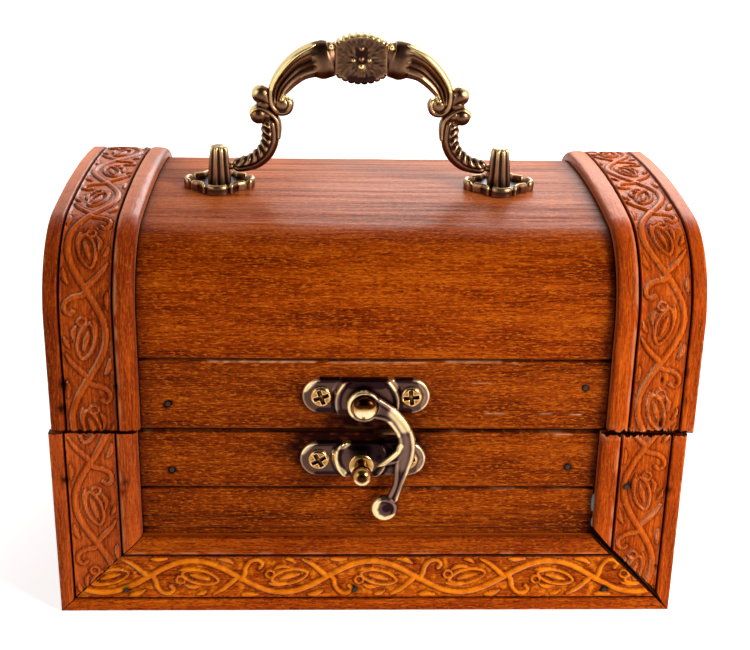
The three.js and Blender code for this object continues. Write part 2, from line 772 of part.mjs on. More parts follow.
// A fluted post standing on its rosette, with a bore for the screw and one for the bail's pin
function post(towardBail) {
  const sides = postFlutes * 2;
  const top = postHeight - rosetteFloor;
  const levels = [[0, postFootRadius], [top * 0.5, (postFootRadius + postTopRadius) / 2 + 0.1],
    [top * 0.93, postTopRadius], [top, postTopRadius * 0.72]];
  const ring = (z, radius) => Array.from({ length: sides }, (_, i) => {
    const angle = (2 * Math.PI * i) / sides;
    const reach = i % 2 ? radius - postFluteDepth : radius;
    return new THREE.Vector3(reach * Math.cos(angle), reach * Math.sin(angle), z);
  });
  const rings = levels.map(([z, radius]) => ring(z, radius));
  const column = loft(rings, rings[0].map((p) => new THREE.Vector2(p.x, p.y)));
  const screwBore = rodZ(postScrew.shankRadius + screwClearance, -1, postBoreDepth, 0, 0, 12);
  const pivotZ = pivotHeight - rosetteFloor;
  const boreEnds = [-towardBail * postBoreStop, towardBail * (postFootRadius + 1)];
  const boreRadius = bailPinRadius + bailPinClearance;
  const pinBore = rodX(boreRadius, Math.min(...boreEnds), Math.max(...boreEnds), 0, pivotZ, 12);
  return cut(column, screwBore, pinBore);
}

function handleScrew() {
  const head = panelThickness + postScrew.seat;
  const tip = rosetteFloor + postBoreDepth - screwClearance;
  const body = turned([
    [0, -head - postScrew.headHeight],
    [postScrew.headRadius * 0.7, -head - postScrew.headHeight],
    [postScrew.headRadius, -head - postScrew.headHeight * 0.4],
    [postScrew.headRadius, -head],
    [postScrew.shankRadius, -head],
    [postScrew.shankRadius, tip],
    [0, tip],
  ], 12);
  const half = slotWidth / 2;
  const slot = [-head - postScrew.headHeight - slotDepth, -head - postScrew.headHeight + slotDepth];
  return cut(body, block([-postScrew.headRadius, postScrew.headRadius], [-half, half], slot));
}

// The right half of the bail about its centre and pivot: x, z, half height, half depth
const bailStations = [
  [0, 25.3, 3.9, 2.2],
  [5.9, 25.3, 3.9, 2.3],
  [8.3, 24.9, 4.5, 2.3],
  [11.2, 24.6, 4, 2.2],
  [13.9, 23.5, 3.5, 2.1],
  [16, 21.7, 3, 2],
  [17.7, 19.7, 2.6, 1.9],
  [19.1, 16.9, 2.1, 1.8],
  [20.3, 13.5, 1.9, 1.7],
  [20.6, 10.2, 1.8, 1.7],
  [20.6, 7, 2, 1.75],
  [21.2, 4.8, 2.1, 1.75],
  [22.7, 2.9, 2.2, 1.75],
  [25.1, 1.3, 2.1, 1.75],
  [27.8, 0.5, 1.95, 1.7],
];
const bailEnd = { z: 0, halfHeight: 1.7, halfDepth: 1.6 };

// The scroll lobes on each arm: x, z, radius
const bailLobes = [[22.7, 16.8, 2.3], [23.3, 12.1, 2.1], [17.9, 14.7, 2.4]];

function bailArmStations() {
  const endX = postSpacing / 2 - postAtPivot - bailEndGap;
  const stretch = endX - bailDrawnSpan;
  const arm = bailStations.map(([x, z, h, d], i) => [x + (stretch * i) / bailStations.length, z, h, d]);
  return arm.concat([[endX, bailEnd.z, bailEnd.halfHeight, bailEnd.halfDepth]]);
}

function bail() {
  const arm = bailArmStations();
  const whole = arm.slice(1).reverse().map(([x, ...rest]) => [-x, ...rest]).concat(arm);
  const path = new THREE.CatmullRomCurve3(whole.map(([x, z]) => new THREE.Vector3(x, 0, z)));
  const sizes = new THREE.CatmullRomCurve3(whole.map(([, , h, d]) => new THREE.Vector3(h, d, 0)));
  const steps = 32;
  const sides = 8;
  const rings = [];
  for (let k = 0; k <= steps; k += 1) {
    const centre = path.getPoint(k / steps);
    const size = sizes.getPoint(k / steps);
    const tangent = k === 0 || k === steps ? new THREE.Vector3(1, 0, 0) : path.getTangent(k / steps);
    const across = new THREE.Vector3(-tangent.z, 0, tangent.x).normalize();
    rings.push(Array.from({ length: sides }, (_, i) => {
      const angle = (2 * Math.PI * i) / sides;
      const point = centre.clone().addScaledVector(across, size.x * Math.cos(angle));
      point.y = size.y * Math.sin(angle);
      return point;
    }));
  }
  const outline = rings[0].map((p) => new THREE.Vector2(p.z, p.y));
  const [endX] = arm[arm.length - 1];
  const lobes = [-1, 1].flatMap((side) => bailLobes.map(([x, z, radius]) => {
    const lobe = new THREE.SphereGeometry(radius, 8, 5);
    return lobe.scale(1, 0.85, 1).translate(side * (x + (endX - bailDrawnSpan) / 2), 0, z);
  }));
  const medallion = turned([
    [0, -medallionHalfDepth],
    [medallionRadius * 0.7, -medallionHalfDepth],
    [medallionRadius, -medallionHalfDepth * 0.55],
    [medallionRadius, medallionHalfDepth * 0.55],
    [medallionRadius * 0.7, medallionHalfDepth],
    [0, medallionHalfDepth],
  ], 16).rotateX(Math.PI / 2).translate(0, 0, bailStations[0][1]);
  const pinEnd = postSpacing / 2;
  const pins = [-1, 1].map((side) => {
    const [from, to] = side > 0 ? [endX - 1, pinEnd] : [-pinEnd, 1 - endX];
    return rodX(bailPinRadius, from, to, 0, 0, 12);
  });
  return join(loft(rings, outline), medallion, ...lobes, ...pins);
}

function addHandle(lid, handleBody) {
  const seat = panelTop + glueLine;
  ['left', 'right'].forEach((side, i) => {
    const x = handlePostPlaces()[i];
    piece(lid, `handle_rosette_${side}`, rosette(), finish.bronze, [x, handleY, seat]);
    piece(lid, `handle_post_${side}`, post(i ? -1 : 1), finish.bronze, [x, handleY, seat + rosetteFloor]);
    piece(lid, `handle_screw_${side}`, handleScrew(), finish.steel, [x, handleY, seat]);
  });
  piece(handleBody, 'handle_bail', bail(), finish.bronze, [handleX, handleY, seat + pivotHeight]);
}

// Assembly

const box = new THREE.Group();
const base = new THREE.Group();
const lid = new THREE.Group();
const hookBody = new THREE.Group();
const handleBody = new THREE.Group();
lid.position.set(lidShift, 0, lidFoot);
box.add(base, lid);
lid.add(hookBody, handleBody);

addBaseBoards(base);
addBaseBands(base);
addCatch(base);
addLidBoards(lid);
addLidBands(lid);
addHinges(base, lid);
addHandle(lid, handleBody);
addLatch(lid, hookBody);

export default box;
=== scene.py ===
"""The look of a small wooden chest: carved bands, lacquered boards, an ornate bail handle and a hook latch.

Lengths are written in millimetres in the chest's own frame (+X right, +Y back, +Z up) and built in metres.
"""

import math

import bmesh
import bpy
import numpy as np
from mathutils import Matrix, Vector


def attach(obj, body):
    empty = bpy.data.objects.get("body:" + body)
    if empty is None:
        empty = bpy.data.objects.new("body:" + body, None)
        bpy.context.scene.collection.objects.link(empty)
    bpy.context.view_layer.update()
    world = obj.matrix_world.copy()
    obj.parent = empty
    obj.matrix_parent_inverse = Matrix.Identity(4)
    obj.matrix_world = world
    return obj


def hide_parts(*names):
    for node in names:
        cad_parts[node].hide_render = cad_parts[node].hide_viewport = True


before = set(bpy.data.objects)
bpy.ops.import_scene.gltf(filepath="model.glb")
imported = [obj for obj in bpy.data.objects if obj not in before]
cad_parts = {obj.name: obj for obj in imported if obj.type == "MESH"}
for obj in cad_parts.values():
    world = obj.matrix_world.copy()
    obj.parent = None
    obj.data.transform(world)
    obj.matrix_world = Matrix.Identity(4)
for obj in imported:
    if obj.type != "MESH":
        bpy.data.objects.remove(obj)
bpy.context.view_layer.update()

MM = 0.001
WELD = 0.012

# The photograph's camera
IMAGE_WIDTH = 750
FOCAL_PX = 1376.7
SENSOR_MM = 36
CAMERA_AT = (-9.92, -314.36, 177.78)
PITCH, YAW, ROLL = 0.37838, 0.03877, 0.01937

# The box, as its construction has it
DEPTH = 90
BASE_HALF = 69.7
LID_HALF = 70
LID_SHIFT = 1
LID_FOOT = 45.5
BASE_TOP = 45
FACE_Y = 42.6
WALL = 4
SIDE_INSET = 0.6
BAND_WIDTH = 19
BAND_PROUD = 2.4
OUTER_GROOVE = 3.3
INNER_GROOVE = 14.4
SPRING = 24.8
CORNER_RADIUS = 19.6
CORNER_SWEEP = math.radians(84)
CORNER_LENGTH = CORNER_RADIUS * CORNER_SWEEP
CROWN_RADIUS = CORNER_RADIUS + (DEPTH / 2 - CORNER_RADIUS) / math.cos(CORNER_SWEEP)
HALF_ARCH = SPRING + CORNER_LENGTH + CROWN_RADIUS * (math.pi / 2 - CORNER_SWEEP)
RAIL_HEIGHT = 15.8
PANEL_DROP = 2.6
PANEL_THICKNESS = 3
PLANK_JOINT = 30.6
PLANK_GAP = 0.3
PLANK_DROP = 0.65
RAIL_DROP = 0.4
MITRE_GAP_LEFT = 0.15
MITRE_GAP_RIGHT = 1.7

# The carved vine, measured along its strip
VINE_HALF_WAVE = 20.2
VINE_AMPLITUDE = 4.1
CARVE_DEPTH = 0.7
FIELD_STEP = 0.1


# Meshes


def around(count):
    """Angles of one full turn."""
    return np.linspace(0, 2 * math.pi, count, endpoint=False)


def ring(radius, angle, height):
    return np.stack([radius * np.cos(angle), radius * np.sin(angle), height + 0 * angle], -1)


def skin(points):
    """Quads over rows of closed rings, with a flat face on each end."""
    rows, count = points.shape[:2]
    i = np.arange(rows - 1)[:, None] * count
    j = np.arange(count)
    k = (j + 1) % count
    quads = np.stack([i + j, i + k, i + count + k, i + count + j], axis=-1).reshape(-1, 4)
    faces = [tuple(q) for q in quads.tolist()]
    faces.append(tuple(range(count - 1, -1, -1)))
    faces.append(tuple(range((rows - 1) * count, rows * count)))
    return points.reshape(-1, 3), faces


def merged(parts):
    """Several (points, faces) as one."""
    points, faces, start = [], [], 0
    for p, f in parts:
        points.append(np.asarray(p, float))
        faces.extend(tuple(start + v for v in face) for face in f)
        start += len(p)
    return np.concatenate(points), faces


def finished_mesh(name, part, weld):
    """A mesh in metres from (points in mm, faces), its normals outwards and close points welded if asked."""
    points, faces = part
    mesh = bpy.data.meshes.new(name)
    mesh.from_pydata((np.asarray(points) * MM).tolist(), [], faces)
    work = bmesh.new()
    work.from_mesh(mesh)
    if weld:
        bmesh.ops.remove_doubles(work, verts=work.verts, dist=WELD * MM)
    bmesh.ops.recalc_face_normals(work, faces=work.faces)
    work.to_mesh(mesh)
    work.free()
    mesh.shade_smooth()
    return mesh


def linked(name, data):
    """A new object in the scene."""
    thing = bpy.data.objects.new(name, data)
    bpy.context.scene.collection.objects.link(thing)
    return thing


def piece(name, part, material, body, replaces=(), attributes=None, sharp=35, painted_light=()):
    """An object that rides on a body and may stand for CAD nodes; metal gets its polish from its form, with
    painted highlights and painted shade from the strokes it is given.
    """
    mesh = finished_mesh(name, part, weld=attributes is None)
    for key, values in (attributes or {"polish_and_painted_light": polish_with_painted_light(mesh, painted_light)}).items():
        kind, field = ("FLOAT_VECTOR", "vector") if values.ndim == 2 else ("FLOAT", "value")
        layer = mesh.attributes.new(key, kind, "POINT")
        layer.data.foreach_set(field, values.astype(np.float32).ravel())
    mesh.set_sharp_from_angle(angle=math.radians(sharp))
    mesh.materials.append(material)
    obj = linked(name, mesh)
    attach(obj, body)
    if replaces:
        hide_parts(*replaces)


def lathe(profile, sides=32):
    """A solid turned about +Z, through (radius, height) pairs."""
    return skin(np.array([ring(radius, around(sides), height) for radius, height in profile]))


def ball(centre, radius, squash=(1, 1, 1), sides=20):
    steps = np.linspace(-math.pi / 2, math.pi / 2, sides // 2)[1:-1]
    points, faces = lathe([(radius * math.cos(a), radius * math.sin(a)) for a in steps], sides)
    return points * np.array(squash) + np.array(centre), faces


def out_front(part):
    """Turns a part drawn about +Z so that +Z points out of the front."""
    points, faces = part
    return np.stack([points[:, 0], -points[:, 2], points[:, 1]], -1), faces


# Smooth noise between -1 and 1, from a fixed lattice that repeats

LATTICE = 64


def noise(x, y, seed):
    lattice = np.random.default_rng(seed).uniform(-1, 1, (LATTICE, LATTICE))
    x0, y0 = np.floor(x).astype(int), np.floor(y).astype(int)
    fx, fy = x - x0, y - y0
    fx, fy = fx * fx * (3 - 2 * fx), fy * fy * (3 - 2 * fy)

    def corner(dx, dy):
        return lattice[(x0 + dx) % LATTICE, (y0 + dy) % LATTICE]

    low = corner(0, 0) * (1 - fx) + corner(1, 0) * fx
    high = corner(0, 1) * (1 - fx) + corner(1, 1) * fx
    return low * (1 - fy) + high * fy


def smooth(edge0, edge1, x):
    """Rises from 0 at edge0 to 1 at edge1, or falls where edge0 is the larger."""
    t = np.clip((x - edge0) / (edge1 - edge0), 0, 1)
    return t * t * (3 - 2 * t)


def spots(x, z, places):
    """Soft round marks from (x, z, half width, half height, strength)."""
    total = np.zeros_like(x)
    for cx, cz, rx, rz, strength in places:
        total += strength * np.exp(-(((x - cx) / rx) ** 2) - ((z - cz) / rz) ** 2)
    return total


def curve_through(points, step=0.12):
    """A Catmull-Rom curve through points of any width, sampled every step along it."""
    p = np.asarray(points, float)
    p = np.vstack([2 * p[0] - p[1], p, 2 * p[-1] - p[-2]])
    out = []
    for a, b, c, d in zip(p, p[1:], p[2:], p[3:]):
        count = max(2, int(np.linalg.norm((c - b)[:2]) / step))
        t = np.linspace(0, 1, count, endpoint=False)[:, None]
        out.append(0.5 * (2 * b + (c - a) * t + (2 * a - 5 * b + 4 * c - d) * t**2
                          + (3 * b - a - 3 * c + d) * t**3))
    out.append(p[-2][None, :])
    return np.vstack(out)


# The vine's motif in one half wave: places along, across towards the hollow side, and half width

TENDRIL = [(0.6, -0.8, 0.5), (1.5, 0.7, 0.6), (1.9, 2.5, 0.55), (3.1, 4.1, 0.5), (4.7, 4.3, 0.48),
           (5.6, 3.3, 0.45), (5.0, 2.4, 0.5)]
BRANCH = [(14.6, 4.6, 0.25), (16.9, 3.2, 0.5), (18.9, 1.3, 0.62), (20.2, 0, 0.6)]
TIP_LEAF = [(10.9, 4.6, 0.2), (12.0, 4.4, 0.5), (13.1, 3.7, 0.2)]
BUD_VEIN = [(9.6, -0.5, 0.25), (11.6, 0.1, 0.62), (13.8, 0.7, 0.25)]
PETAL_HIGH = [(8.2, 2.0, 0.2), (9.7, 2.7, 0.5), (11.8, 2.5, 0.18)]
PETAL_LOW = [(7.0, -1.7, 0.2), (8.6, -2.0, 0.45), (10.6, -2.1, 0.18)]
OUTER_START = [(0.9, -4.7, 0.25), (2.3, -4.5, 0.55), (4.4, -4.7, 0.25)]
OUTER_END = [(15.9, -4.7, 0.25), (17.7, -4.4, 0.6), (19.2, -3.6, 0.25)]
BUD_CENTRE = (11.7, 0.1)
BUD_HALF_LENGTH, BUD_HALF_WIDTH = 4.2, 1.75
BUD_TILT = 0.24
RING_CENTRE, RING_RADIUS = (7.3, 0.7), 0.95
STEM_LINE, BUD_LINE, RING_LINE = 0.68, 0.34, 0.28


def stroke(along, across, half_width):
    return np.stack([along, across, np.full(len(along), half_width)], -1)


def bud_outline():
    turn = np.linspace(0, 2 * math.pi, 25)
    along = BUD_HALF_LENGTH * np.cos(turn)
    across = BUD_HALF_WIDTH * np.sin(turn) * np.abs(np.sin(turn)) ** 0.35
    x = BUD_CENTRE[0] + along * math.cos(BUD_TILT) - across * math.sin(BUD_TILT)
    y = BUD_CENTRE[1] + along * math.sin(BUD_TILT) + across * math.cos(BUD_TILT)
    return stroke(x, y, BUD_LINE)


def ring_outline():
    turn = np.linspace(0, 2 * math.pi, 13)
    x = RING_CENTRE[0] + RING_RADIUS * np.cos(turn)
    return stroke(x, RING_CENTRE[1] + RING_RADIUS * np.sin(turn), RING_LINE)


def stem_outline():
    along = np.linspace(0, VINE_HALF_WAVE, 15)
    return stroke(along, -VINE_AMPLITUDE * np.sin(math.pi * along / VINE_HALF_WAVE), STEM_LINE)


def vine(start, end, first_junction, first_side, forward=1):
    """Strokes (along, across, half width) of a running vine from start to end.

    first_side is the side, +1 or -1, to which the stem bulges after the first junction. With forward -1
    the vine runs towards smaller places along.
    """
    motif = [stem_outline(), bud_outline(), ring_outline(), TENDRIL, BRANCH, TIP_LEAF, BUD_VEIN, PETAL_HIGH,
             PETAL_LOW, OUTER_START, OUTER_END]
    curves = [curve_through(m) for m in motif]
    strokes = []
    waves = int((end - start) / VINE_HALF_WAVE) + 3
    for k in range(-waves, waves + 1):
        side = first_side * (1 if k % 2 == 0 else -1)
        origin = first_junction + forward * k * VINE_HALF_WAVE
        for c in curves:
            along = origin + forward * c[:, 0]
            strokes.append(np.stack([along, -side * c[:, 1], c[:, 2]], -1))
    every = np.vstack(strokes)
    return every[(every[:, 0] > start - 2) & (every[:, 0] < end + 2)]


class Field:
    """Ridge height (0 to 1) and distance to the nearest stroke over a strip, on a fine raster."""

    def __init__(self, start, end, strokes):
        half = (INNER_GROOVE - OUTER_GROOVE) / 2
        self.along = np.arange(start, end + FIELD_STEP, FIELD_STEP)
        self.across = np.arange(-half, half + FIELD_STEP, FIELD_STEP)
        shape = (len(self.along), len(self.across))
        self.ridge = np.zeros(shape)
        self.far = np.full(shape, 3.0)
        for a, c, radius in strokes:
            self.stamp(a, c, radius)

    def stamp(self, a, c, radius):
        reach = radius + 1.2
        i0, i1 = np.searchsorted(self.along, [a - reach, a + reach])
        j0, j1 = np.searchsorted(self.across, [c - reach, c + reach])
        if i0 >= i1 or j0 >= j1:
            return
        distance = np.hypot(self.along[i0:i1, None] - a, self.across[None, j0:j1] - c)
        dome = np.clip(1 - (distance / radius) ** 2, 0, 1) ** 0.4
        self.ridge[i0:i1, j0:j1] = np.maximum(self.ridge[i0:i1, j0:j1], dome)
        self.far[i0:i1, j0:j1] = np.minimum(self.far[i0:i1, j0:j1], distance - radius)

    def sample(self, layer, a, c):
        i = np.clip((a - self.along[0]) / FIELD_STEP, 0, len(self.along) - 1.001)
        j = np.clip((c - self.across[0]) / FIELD_STEP, 0, len(self.across) - 1.001)
        i0, j0 = i.astype(int), j.astype(int)
        fi, fj = i - i0, j - j0
        low = layer[i0, j0] * (1 - fi) + layer[i0 + 1, j0] * fi
        high = layer[i0, j0 + 1] * (1 - fi) + layer[i0 + 1, j0 + 1] * fi
        return low * (1 - fj) + high * fj


# Bands

EDGE_ROUND = 0.5
GROOVE_HALF, GROOVE_DEPTH = 0.4, 0.95
FALL, OUTER_FALL, INNER_FALL = 1.4, 0.12, 0.22
BEAD_WIDTH, BEAD_DROP = 2.6, 1.05
BRUISE_DEPTH = 0.5


def band_columns():
    """Places across a band: its outer strip, groove, carving, groove and inner bead."""
    outer = [0, 0.05, 0.15, 0.3, 0.5, 0.8, 1.3, 1.9, 2.4, 2.75]
    groove = np.array([-0.38, -0.25, -0.12, 0, 0.12, 0.25, 0.38])
    carve = np.arange(OUTER_GROOVE + 0.6, INNER_GROOVE - 0.5, 0.24)
    inner = [14.95, 15.2, 15.5, 15.9, 16.3, 16.7, 17.1, 17.5, 17.8, 18.1, 18.4, 18.65, 18.8, 18.92,
             BAND_WIDTH]
    return np.concatenate([outer, OUTER_GROOVE + groove, carve, INNER_GROOVE + groove, inner])


def moulding(u):
    """Height above the boards across a band, without its carving."""
    height = np.full_like(u, float(BAND_PROUD))
    edge = np.clip((EDGE_ROUND - u) / EDGE_ROUND, 0, 1)
    height -= EDGE_ROUND * (1 - np.sqrt(1 - edge**2))
    height -= OUTER_FALL * np.clip((u - 1.9) / FALL, 0, 1) ** 2 * (u < OUTER_GROOVE)
    for groove in (OUTER_GROOVE, INNER_GROOVE):
        height -= GROOVE_DEPTH * np.clip(1 - np.abs(u - groove) / GROOVE_HALF, 0, 1) ** 0.8
    bead = np.clip((u - BAND_WIDTH + BEAD_WIDTH) / BEAD_WIDTH, 0, 1)
    height -= BEAD_DROP * (1 - np.sqrt(np.clip(1 - bead**2, 0, 1)))
    height -= INNER_FALL * np.clip((16.0 - u) / FALL, 0, 1) ** 2 * (u > INNER_GROOVE)
    return height


def frayed(u, s, seam, seed):
    """Pale torn fibres near the end of a band that meets the seam."""
    return np.exp(-np.abs(s - seam) / 0.7) * smooth(-0.1, 0.4, noise(u * 1.9, s * 1.3, seed + 9))


def chips(u, amount, seed):
    """How much of each column's end is broken off."""
    coarse = np.clip(noise(u * 2.2, u * 0, seed + 6), 0, 1)
    fine = np.clip(noise(u * 6.5, u * 0, seed + 8), 0, 1)
    return amount * (coarse + 0.6 * fine)


def carved_height(u, s, ridge, stop_cut, inside, seed):
    """The moulding, with the ground cut down round the vine and a little deeper along its edges."""
    tooling = 0.05 * noise(s * 1.9, u * 1.9, seed) + 0.04 * noise(s * 4.3, u * 4.3, seed + 1)
    ground = -CARVE_DEPTH * (0.62 + 0.38 * stop_cut) + tooling
    height = moulding(u) + inside * np.maximum(ground, (ridge - 1.06) * CARVE_DEPTH)
    return height + 0.035 * noise(s * 0.5, u * 2.0, seed + 2) * (1 - inside)


def wear_and_painted_highlights(u, s, height, inside, highlight_facing, seed):
    """Painted highlights on carved slopes that face the given side, and pale wear on the outer edge and the
    inner bead's foot, in places.
    """
    slope_u = np.gradient(height, axis=1) / np.gradient(u, axis=1)
    slope_s = np.gradient(height, axis=0) / np.gradient(s, axis=0)
    facing = -(slope_u * highlight_facing[0] + slope_s * highlight_facing[1])
    # Painted highlight on the carved slopes that face one side
    wear_and_highlight = smooth(0.35, 1.0, facing) * inside * smooth(-0.35, 0.25, noise(s * 0.16, u * 0.25, seed + 7))
    wear_and_highlight += 0.5 * smooth(0.5, 0.25, u) * smooth(0.0, 0.2, u) * smooth(0.2, 0.6, noise(s * 0.7, u, seed + 3))
    wear_and_highlight += 0.5 * np.exp(-(((u - 15.05) / 0.3) ** 2)) * smooth(-0.4, 0.4, noise(s * 0.35, u * 0.5, seed + 8))
    return wear_and_highlight


def band_surface(u, s, field, seed, marks, highlight_facing, seam, torn):
    """Height, gilding, shade and wear at places across (u) and along (s) a band."""
    strip = u - (OUTER_GROOVE + INNER_GROOVE) / 2
    inside = smooth(0.25, 0.75, np.minimum(u - OUTER_GROOVE, INNER_GROOVE - u))
    ridge = field.sample(field.ridge, s, strip) * inside
    stop_cut = np.exp(-np.clip(field.sample(field.far, s, strip), 0, 3) / 0.35) * (1 - ridge)
    height = carved_height(u, s, ridge, stop_cut, inside, seed)
    blotch = 0.5 + 0.5 * noise(s * 0.8, u * 0.8, seed + 4)
    grit = 0.5 + 0.5 * noise(s * 3.1, u * 3.1, seed + 5)
    patches = smooth(0.5, 0.85, 0.6 * blotch + 0.4 * grit)
    gild = ridge * (0.45 + 0.55 * blotch) + inside * (1 - ridge) * patches * 0.7
    near_groove = np.minimum(np.abs(u - OUTER_GROOVE), np.abs(u - INNER_GROOVE))
    cut = inside * stop_cut * smooth(0.5, 0, ridge)
    spots_and_shade = spots(u, s, marks)
    # Painted shade in the grooves, in the cuts round the vine and towards the inner edge, with the marks'
    # darkness added
    shade_and_stain = smooth(0.42, 0.1, near_groove) + (0.4 + 0.5 * grit) * cut + spots_and_shade
    shade_and_stain += 0.4 * smooth(18.2, BAND_WIDTH, u)
    wear_and_highlight = wear_and_painted_highlights(u, s, height, inside, highlight_facing, seed) + torn * frayed(u, s, seam, seed)
    return height - BRUISE_DEPTH * np.clip(spots_and_shade, 0, 1), gild, np.clip(shade_and_stain, 0, 1), wear_and_highlight


def band(name, body, field, place, rows, seed, material, marks=(), highlight_facing=(-0.9, 0.3), seam=0, torn=0):
    """A carved band. place(u, s, h) gives points in mm; rows(u) gives the places along for each column."""
    u = band_columns()
    s = rows(u)
    u = np.broadcast_to(u, s.shape)
    height, gild, shade_and_stain, wear_and_highlight = band_surface(u, s, field, seed, marks, highlight_facing, seam, torn)
    # Painted shade at both ends, in the seam and the mitre gaps
    shade_and_stain[[0, -1]] = 1
    wear_and_highlight[[0, -1]] = 0
    flat = np.zeros_like(s[:, :1])
    foot = [place(u[:, edge], s[:, edge], flat) for edge in (slice(-1, None), slice(0, 1))]
    points = np.concatenate([place(u, s, height), *foot], axis=1)

    def padded(values):
        return np.concatenate([values, flat, flat], axis=1).ravel()

    grain = np.stack([padded(s), padded(u), padded(height)], -1)
    attributes = {"gild": padded(gild), "shade_and_stain": padded(shade_and_stain), "wear_and_highlight": padded(wear_and_highlight), "grain": grain}
    piece(name, skin(points), material, body, [name.replace("look_", "")], attributes)


def arch(s):
    """Places (y, z above the lid's foot) and outward directions at arc lengths along the bands' surface."""
    corner_y = DEPTH / 2 - CORNER_RADIUS
    crown_z = SPRING - corner_y * math.tan(CORNER_SWEEP)
    t = np.where(s > HALF_ARCH, 2 * HALF_ARCH - s, s)
    corner = np.clip((t - SPRING) / CORNER_RADIUS, 0, CORNER_SWEEP)
    crown = np.clip((t - SPRING - CORNER_LENGTH) / CROWN_RADIUS, 0, None)
    angle = corner + crown
    on_crown = crown > 0
    radius = np.where(on_crown, CROWN_RADIUS, CORNER_RADIUS)
    ny, nz = -np.cos(angle), np.sin(angle)
    y = np.where(on_crown, 0, -corner_y) + radius * ny
    z = np.where(on_crown, crown_z, SPRING) + radius * nz
    y = np.where(t < SPRING, -DEPTH / 2, y)
    z = np.where(t < SPRING, t, z)
    flip = np.where(s > HALF_ARCH, -1, 1)
    return y * flip, z, ny * flip, nz


def lid_point(x, s, inset):
    y, z, ny, nz = arch(s)
    return np.stack([LID_SHIFT + x, y - ny * inset, LID_FOOT + z - nz * inset], -1)


# The ends at the front seam are more worn on the right, side +1, than on the left, side -1
CHIPPED = {-1: 0.2, 1: 0.7}
TORN = {-1: 0, 1: 0.9}


def painted_highlight_side(side):
    """The direction, across and along a front band, that the carved slopes with its painted highlight face.
    """
    return side * 0.8, 0.6


def add_lid_band(name, side, junction, seed, material, marks):
    length = 2 * HALF_ARCH
    field = Field(0, length, vine(0, length, junction, -side, forward=-1))

    def place(u, s, h):
        return lid_point(side * (LID_HALF - u), s, BAND_PROUD - h)

    def rows(u):
        share = np.linspace(0, 1, 620)[:, None]
        return chips(u, CHIPPED[side], seed) * (1 - share) + length * share

    band(name, "lid", field, place, rows, seed, material, marks, painted_highlight_side(side), 0, TORN[side])


def add_front_side_band(name, side, junction, mitre_gap, seed, material, marks):
    field = Field(0, BASE_TOP, vine(0, BASE_TOP, junction, -side, forward=-1))

    def place(u, s, h):
        return np.stack([side * (BASE_HALF - u), -FACE_Y - h, s], -1)

    def rows(u):
        share = np.linspace(0, 1, 190)[:, None]
        foot = u + mitre_gap * (smooth(0.3, 4, u) + 0.4 * smooth(14, BAND_WIDTH, u))
        return foot + (BASE_TOP - chips(u, CHIPPED[side], seed) - foot) * share

    band(name, "base", field, place, rows, seed, material, marks, painted_highlight_side(side), BASE_TOP, TORN[side])


def add_bottom_band(name, junction, seed, material, marks):
    field = Field(-BASE_HALF, BASE_HALF, vine(-BASE_HALF, BASE_HALF, junction, -1))

    def place(u, s, h):
        return np.stack([s, -FACE_Y - h, u], -1)

    def rows(u):
        return np.linspace(-1, 1, 560)[:, None] * (BASE_HALF - u)

    band(name, "base", field, place, rows, seed, material, marks)


def add_back_band(name, side, junction, seed, material):
    field = Field(0, BASE_TOP, vine(0, BASE_TOP, junction, side))

    def place(u, s, h):
        return np.stack([side * (BASE_HALF - u), FACE_Y + h, s], -1)

    def rows(u):
        return np.repeat(np.linspace(0, BASE_TOP, 170)[:, None], len(u), axis=1)

    band(name, "base", field, place, rows, seed, material)


def add_bands(materials):
    """All seven bands; each mark is (across, along, half width, half length, darkness): a dark spot, or a
    long strip of painted shade.
    """
    add_lid_band("look_lid_left_band", -1, 32.6, 51, materials["carved"],
                 [(3.3, 10.9, 0.9, 1.5, 1), (2.5, 5.3, 0.9, 1.1, 0.9), (14.4, 10.5, 0.5, 0.5, 1),
                  # This long mark darkens the outer moulding as painted shade
                  (1.4, 25, 2.4, 40, 0.22)])
    # The right bands and the base's left band take copies of the carved wood painted lighter, as painted
    # light
    add_lid_band("look_lid_right_band", 1, 36.7, 53, materials["carved_painted_lit_right"],
                 [(8.2, 12.4, 0.4, 1.0, 1), (3, 14.2, 0.5, 1.0, 0.6), (2.7, 7.6, 0.5, 0.8, 0.6),
                  (7.5, 1.6, 0.4, 1.2, 0.9)])
    add_front_side_band("look_base_front_left_band", -1, 17.9, MITRE_GAP_LEFT, 57, materials["carved_painted_lit_base_left"],
                        [(2.7, 33.5, 0.8, 0.9, 0.9), (15.9, 33, 0.7, 0.9, 0.8), (15.4, 30.6, 0.5, 0.6, 0.7)])
    add_front_side_band("look_base_front_right_band", 1, 21.8, MITRE_GAP_RIGHT, 59,
                        materials["carved_painted_lit_right"],
                        [(12.4, 32.1, 1.1, 1.1, 1), (4, 11.5, 0.5, 0.5, 0.8), (3, 31.1, 0.7, 0.9, 0.9)])
    add_bottom_band("look_base_front_bottom_band", -29.5, 61, materials["carved_gold"],
                    # The first mark, along the inner bead, is painted shade; the others are dark spots round
                    # the brads
                    [(17.2, 0, 2.6, 200, 0.28), (5.5, -54.8, 1, 1, 0.9), (5.5, -2.9, 1, 1, 0.9),
                     (5.5, 54.4, 1, 1, 0.9)])
    add_back_band("look_base_back_left_band", -1, 12, 67, materials["carved"])
    add_back_band("look_base_back_right_band", 1, 12, 71, materials["carved"])


# Boards

BAND_SHADOW = 0.5
ROW_STEP = 0.45


